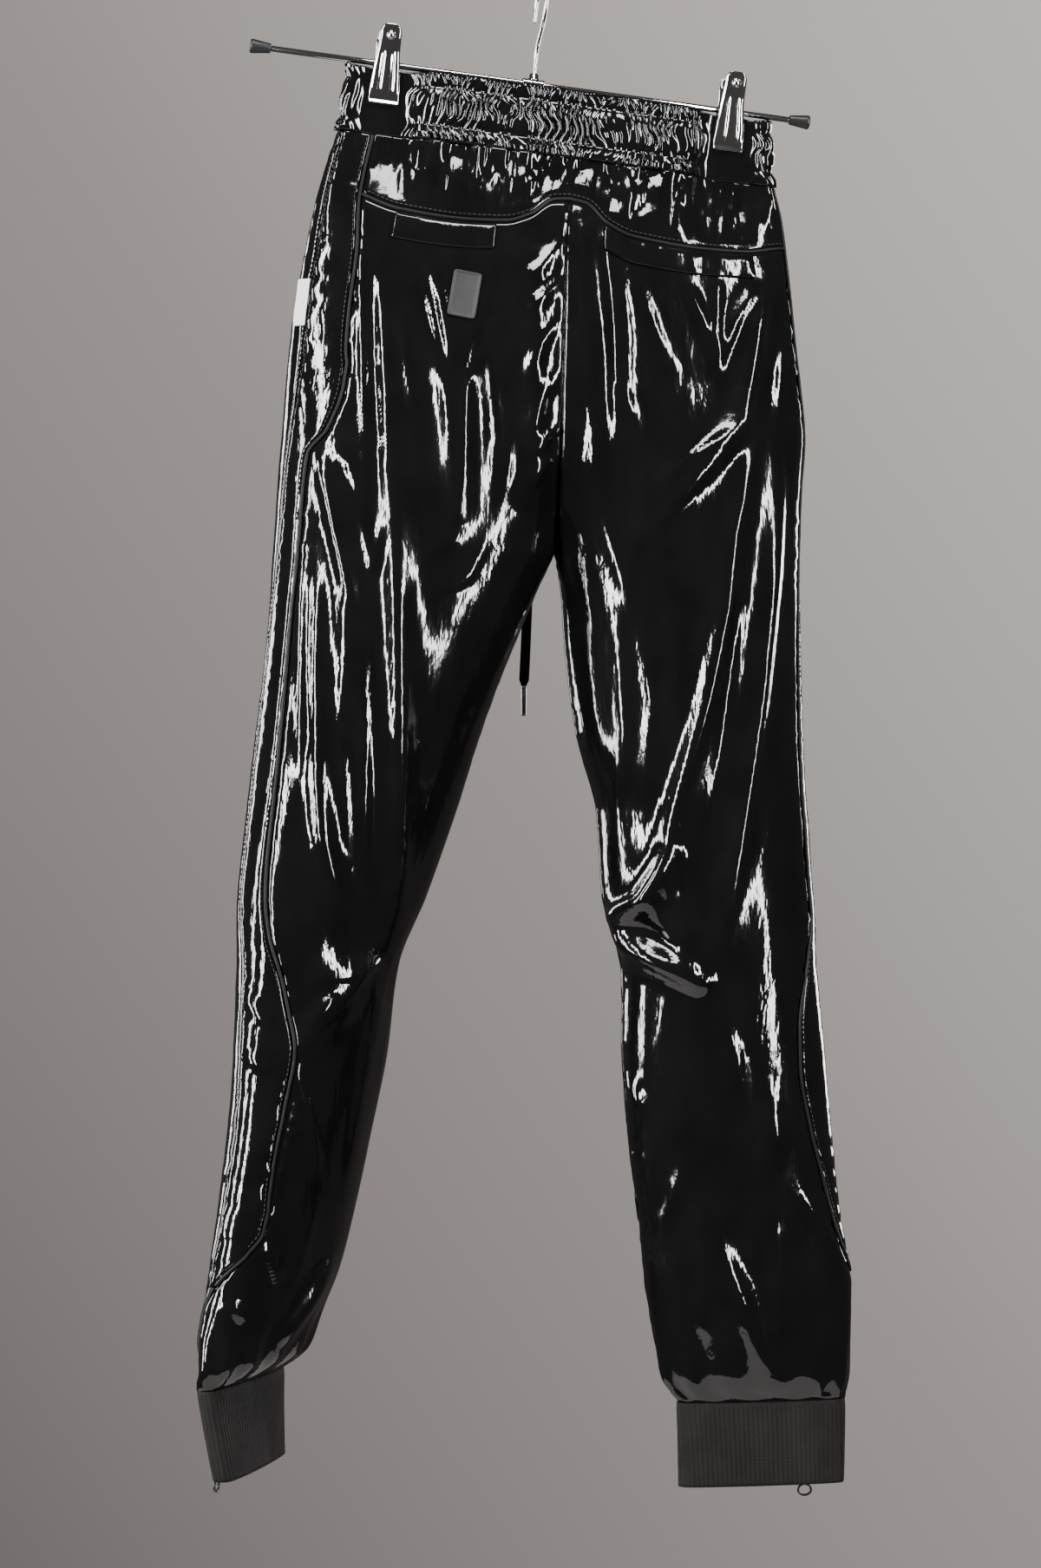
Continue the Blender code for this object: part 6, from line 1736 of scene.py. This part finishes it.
@dataclass
class Hanger:
    """The wire hook, its bracket and the bar with its two caps."""

    def hook(self) -> None:
        """The wire that goes up from the bracket and bends over forwards."""
        radius = HOOK_INSIDE_RADIUS + WIRE_RADIUS
        points = [(0.0, 0.0, -BAR_DROP + up * MM) for up in (8, 11, 14)]
        points += [(0.0, -0.0005, -0.064), (0.0, -0.001, -0.058), (0.0, -0.006, -0.0525)]
        for degrees in range(-56, 199, 6):
            turn = math.radians(degrees)
            points.append((0.0, -radius * math.cos(turn), -HOOK_INSIDE_RADIUS + radius * math.sin(turn)))
        path = moved(hanger_place(), points)
        radii = np.full(len(path), WIRE_RADIUS)
        radii[-2:] *= (0.9, 0.6)
        dress(tube_mesh("hook_wire", path, radii, CHROME, 20), "chrome", "hanger_hook")

    def bar(self) -> None:
        """The bar and its tapered caps."""
        half = BAR_LENGTH / 2
        place = hanger_place(0, -BAR_DROP) @ Matrix.Rotation(math.pi / 2, 4, "Y")
        rod = turned("bar_rod", ((BAR_RADIUS * 0.8, half), (BAR_RADIUS, half - 0.0005), (BAR_RADIUS, 0.0),
                                 (BAR_RADIUS, 0.0005 - half), (BAR_RADIUS * 0.8, -half)), place, CHROME)
        dress(rod, "chrome", "hanger_bar")
        for side, sign in SIDES.items():
            start = sign * (half + LAY_GAP)
            place = hanger_place(start, -BAR_DROP) @ Matrix.Rotation(sign * math.pi / 2, 4, "Y")
            profile = ((0.0034, 0.0), (0.0036, 0.0006), (0.0040, 0.0040), (0.0051, 0.0125), (0.0052, 0.0140),
                       (0.0046, 0.0149), (0.0030, 0.0150))
            cap = turned(f"bar_cap_{side}", profile, place, CAP_PLASTIC, 36)
            dress(cap, "cap_plastic", f"hanger_cap_{side}")

    def bracket(self) -> None:
        """The folded saddle over the bar, with the hook's collar."""
        place = hanger_place(0, -BAR_DROP)
        arch = []
        wide, reach, leg, wall = 0.016, BAR_RADIUS + 0.35 * MM, -0.0072, 1.3 * MM
        for r in (reach + wall, reach):
            row = [(-r, leg), (-r, leg / 2), (-r, 0.0)]
            row += [(-r * math.cos(a), r * math.sin(a)) for a in np.linspace(0.2, math.pi - 0.2, 12)]
            row += [(r, 0.0), (r, leg / 2), (r, leg)]
            arch.append(row)
        xs = np.array([-0.5, -0.47, -0.2, 0.2, 0.47, 0.5]) * wide
        grids = [moved(place, [(x, y, z) for y, z in row for x in xs]).reshape(-1, len(xs), 3)
                 for row in arch]
        saddle = shell("saddle", grids[0], grids[1], CHROME)
        collar = turned("collar", ((0.0016, 0.0078), (0.0030, 0.0077), (0.0034, 0.0070), (0.0034, 0.0045),
                                   (0.0044, 0.0036), (0.0044, 0.0030)), place, CHROME, 28)
        dress(joined("bracket_saddle", [saddle, collar]), "chrome", "hanger_bracket")

    def build(self) -> None:
        """All of the hanger but its clips."""
        self.hook()
        self.bar()
        self.bracket()


@dataclass
class Clip:
    """One sprung clip: two pressed jaws, the coil on the bar and a rivet."""

    side: str
    jaw: tuple[JawRow, ...] = table(
        JawRow, (CLIP_ABOVE, 0.0125, 0.00), (0.0180, 0.0105, 0.05), (0.0080, 0.0068, 0.20),
        (0.0000, 0.0050, 0.45), (-0.0140, 0.0060, 0.85), (-0.0260, 0.0037, 1.00), (-CLIP_BELOW, 0.0052, 1.00),
    )
    rows: int = 60
    columns: int = 34

    def half(self, face: str) -> None:
        """One pressed sheet-metal jaw with two long ridges, a rolled lip and rounded corners."""
        sign = -1 if face == "back" else 1
        place = hanger_place(CLIP_PLACES[self.side], -BAR_DROP)
        z = np.linspace(CLIP_ABOVE, -CLIP_BELOW, self.rows + 1)[:, None]
        y = column(self.jaw, "z", "y", z)
        spread = column(self.jaw, "z", "spread", z)
        half = (CLIP_WIDTH_TOP + (CLIP_WIDTH_JAW - CLIP_WIDTH_TOP) * spread) / 2
        from_top = CLIP_ABOVE - z
        from_end = z + CLIP_BELOW
        half = half - 4.5 * MM * (1 - np.sqrt(np.clip(1 - (1 - np.clip(from_top / 0.006, 0, 1)) ** 2, 0, 1)))
        half = half - 1.2 * MM * (1 - np.clip(from_end / 0.0015, 0, 1)) ** 2
        share = np.linspace(-1, 1, self.columns + 1)[None, :]
        long = smooth_step(z, -0.0255, -0.0200) * smooth_step(-z, -0.0130, -0.0040)
        ridge = 0.9 * MM * np.exp(-(((np.abs(share) - 0.42) / 0.14) ** 2)) * long
        head = 0.5 * MM * np.exp(-(((share**2 + ((z - 0.0190) / 0.0062) ** 2) / 0.55) ** 2))
        curl = -0.9 * MM * smooth_step(np.abs(share), 0.80, 1.0) * smooth_step(z, -0.026, -0.018)
        x = share * half
        grids = []
        for lift in (SHEET, 0.0):
            out = sign * (y + ridge + head + curl + lift)
            points = np.stack(np.broadcast_arrays(x, out, z), axis=-1)
            grids.append(moved(place, points.reshape(-1, 3)).reshape(points.shape))
        dress(shell(f"clip_jaw_{self.side}_{face}", grids[0], grids[1], CHROME), "chrome",
              f"clip_{self.side}_{face}")

    def spring(self) -> None:
        """The wound wire round the bar."""
        place = hanger_place(CLIP_PLACES[self.side], -BAR_DROP)
        turns, wire, reach, half = 8, 0.55 * MM, 3.15 * MM, 4.7 * MM
        turn = np.linspace(0, 2 * np.pi * turns, turns * 20 + 1)
        along = np.linspace(-half, half, len(turn))
        path = moved(place, np.stack([along, reach * np.sin(turn), reach * np.cos(turn)], axis=-1))
        coil = tube_mesh(f"clip_coil_{self.side}", path, wire, CHROME, 10)
        dress(coil, "chrome", f"clip_spring_{self.side}")

    def rivet(self) -> None:
        """The rivet's domed head."""
        out = -(0.0108 + SHEET + 0.3 * MM)
        place = hanger_place(CLIP_PLACES[self.side], -BAR_DROP + 0.0190) @ Matrix.Translation((0, out, 0))
        dome = ((0.0033, 0.0), (0.0034, 0.0006), (0.0031, 0.0016), (0.0024, 0.0025), (0.0014, 0.0031),
                (0.0005, 0.0033))
        turned_out = place @ Matrix.Rotation(math.pi / 2, 4, "X")
        dress(turned(f"clip_rivet_head_{self.side}", dome, turned_out, CHROME, 36), "chrome",
              f"clip_rivet_{self.side}")

    def build(self) -> None:
        """The whole clip."""
        for face in ("back", "front"):
            self.half(face)
        self.spring()
        self.rivet()


# ---- studio

@dataclass(frozen=True)
class Softbox:
    """A tall or wide soft light, aimed at a point."""

    name: str
    place: tuple[float, float, float]
    aim: tuple[float, float, float]
    size: tuple[float, float]
    watts: float

    def build(self) -> None:
        """The light."""
        data = bpy.data.lights.new(self.name, "AREA")
        data.shape = "RECTANGLE"
        data.size, data.size_y = self.size
        data.energy = self.watts
        light = placed(self.name, data)
        light.location = self.place
        light.rotation_euler = (Vector(self.aim) - Vector(self.place)).to_track_quat("-Z", "Y").to_euler()
        light.visible_camera = False


@dataclass
class Studio:
    """The camera, the lights, the surroundings and the pale floor."""

    camera_place: tuple[float, float, float] = (-0.4245, -2.566, -0.5975)
    camera_turn: float = math.radians(-9)
    camera_lens: float = 54.12
    floor_z: float = -1.95
    floor_radius: float = 1.15
    backdrop: tuple = ((0.180, 0.163, 0.155), (0.360, 0.327, 0.312), (0.680, 0.622, 0.597))
    lighter_towards: tuple[float, float, float] = (1.72, 0.0, 1.19)
    reflected: tuple[float, float, float] = (0.060, 0.054, 0.052)
    lights: tuple[Softbox, ...] = (
        Softbox("left_softbox", (-2.10, -1.75, 0.15), (-0.05, 0.0, -0.45), (0.32, 2.70), 120),
        Softbox("right_softbox", (1.75, -2.00, 0.10), (0.05, 0.0, -0.45), (0.28, 2.60), 88),
        Softbox("side_softbox", (-2.45, -0.55, -0.40), (-0.10, 0.0, -0.60), (0.34, 1.80), 60),
        Softbox("top_softbox", (0.0, -1.20, 1.60), (0.0, 0.0, -0.50), (1.10, 0.45), 34),
        *(Softbox(f"rear_{side}_softbox", (sign * 1.90, 1.60, -0.20), (0.0, 0.0, -0.60), (0.60, 1.60), 45)
          for side, sign in SIDES.items()),
    )

    def camera(self) -> None:
        """The camera, level and turned 9 degrees."""
        data = bpy.data.cameras.new("camera")
        data.sensor_fit = "VERTICAL"
        data.sensor_height = 24.0
        data.lens = self.camera_lens
        camera = placed("camera", data)
        camera.location = self.camera_place
        camera.rotation_euler = (math.radians(90), 0.0, self.camera_turn)
        bpy.context.scene.camera = camera

    def world(self) -> None:
        """Warm grey surroundings, lighter up and to the right, and darker where the vinyl reflects them."""
        world = bpy.data.worlds.new("studio")
        bpy.context.scene.world = world
        world.use_nodes = True
        tree = world.node_tree
        tree.nodes.clear()
        across = add_node(tree, "VectorMath")
        across.operation = "DOT_PRODUCT"
        across.inputs[1].default_value = self.lighter_towards
        tree.links.new(add_node(tree, "TexCoord").outputs["Generated"], across.inputs[0])
        span = add_node(tree, "MapRange", Value=across.outputs["Value"], From_Min=-0.23, From_Max=0.77)
        ramp = add_node(tree, "ValToRGB", Fac=span.outputs["Result"])
        stops = ramp.color_ramp.elements
        stops.new(0.5)
        for stop, place, colour in zip(stops, (0.0, 0.5, 1.0), self.backdrop):
            stop.position = place
            stop.color = (*colour, 1.0)
        seen = add_node(tree, "Background", Color=ramp.outputs["Color"], Strength=1.0)
        unseen = add_node(tree, "Background", Color=(*self.reflected, 1.0), Strength=1.0)
        path = add_node(tree, "LightPath")
        mix = add_node(tree, "MixShader", Fac=path.outputs["Is Camera Ray"])
        tree.links.new(unseen.outputs["Background"], mix.inputs[1])
        tree.links.new(seen.outputs["Background"], mix.inputs[2])
        add_node(tree, "OutputWorld", Surface=mix.outputs["Shader"])

    def floor(self) -> None:
        """A round pale floor below the garment."""
        mesh = bmesh.new()
        bmesh.ops.create_circle(mesh, cap_ends=True, segments=96, radius=self.floor_radius)
        bmesh.ops.translate(mesh, verts=mesh.verts, vec=(0, 0, self.floor_z))
        paint = Finish("pale_floor", (0.42, 0.40, 0.39), (0.7, 0.9), shade=0.03, smudge_scale=2.0)
        floor = from_bmesh("studio_floor", mesh, paint)

    def build(self) -> None:
        """Everything around the garment."""
        self.camera()
        self.world()
        self.floor()
        for light in self.lights:
            light.build()


# ---- the whole

def main() -> None:
    """Builds the studio, the trousers and the hanger, in this order."""
    logging.basicConfig(level=logging.INFO, format="%(message)s")
    Studio().build()
    for drawstring in (
        Drawstring("left", (-0.00202, 0.01703, -0.11159), -0.5240, 27),
        Drawstring("right", (0.04004, 0.01702, -0.11601), -0.3500, 17),
    ):
        drawstring.build()
    Hanger().build()
    for side in SIDES:
        Clip(side).build()
    Waistband().build()
    Yoke().build()
    for side in SIDES:
        LegCloth(side).build()
        Cuff(side).build()
        AnkleZip(side).build()
        Stitches().build(f"side_stitches_{side}", seam_paths(side))
    Stitches().build("yoke_stitches", [yoke_path()])
    PocketBand("left", 0.40, 0.82).build()
    PocketBand("right", 0.20, 0.76).build()
    Badge().build()
    SideLabel().build()


if __name__ == "__main__":
    main()
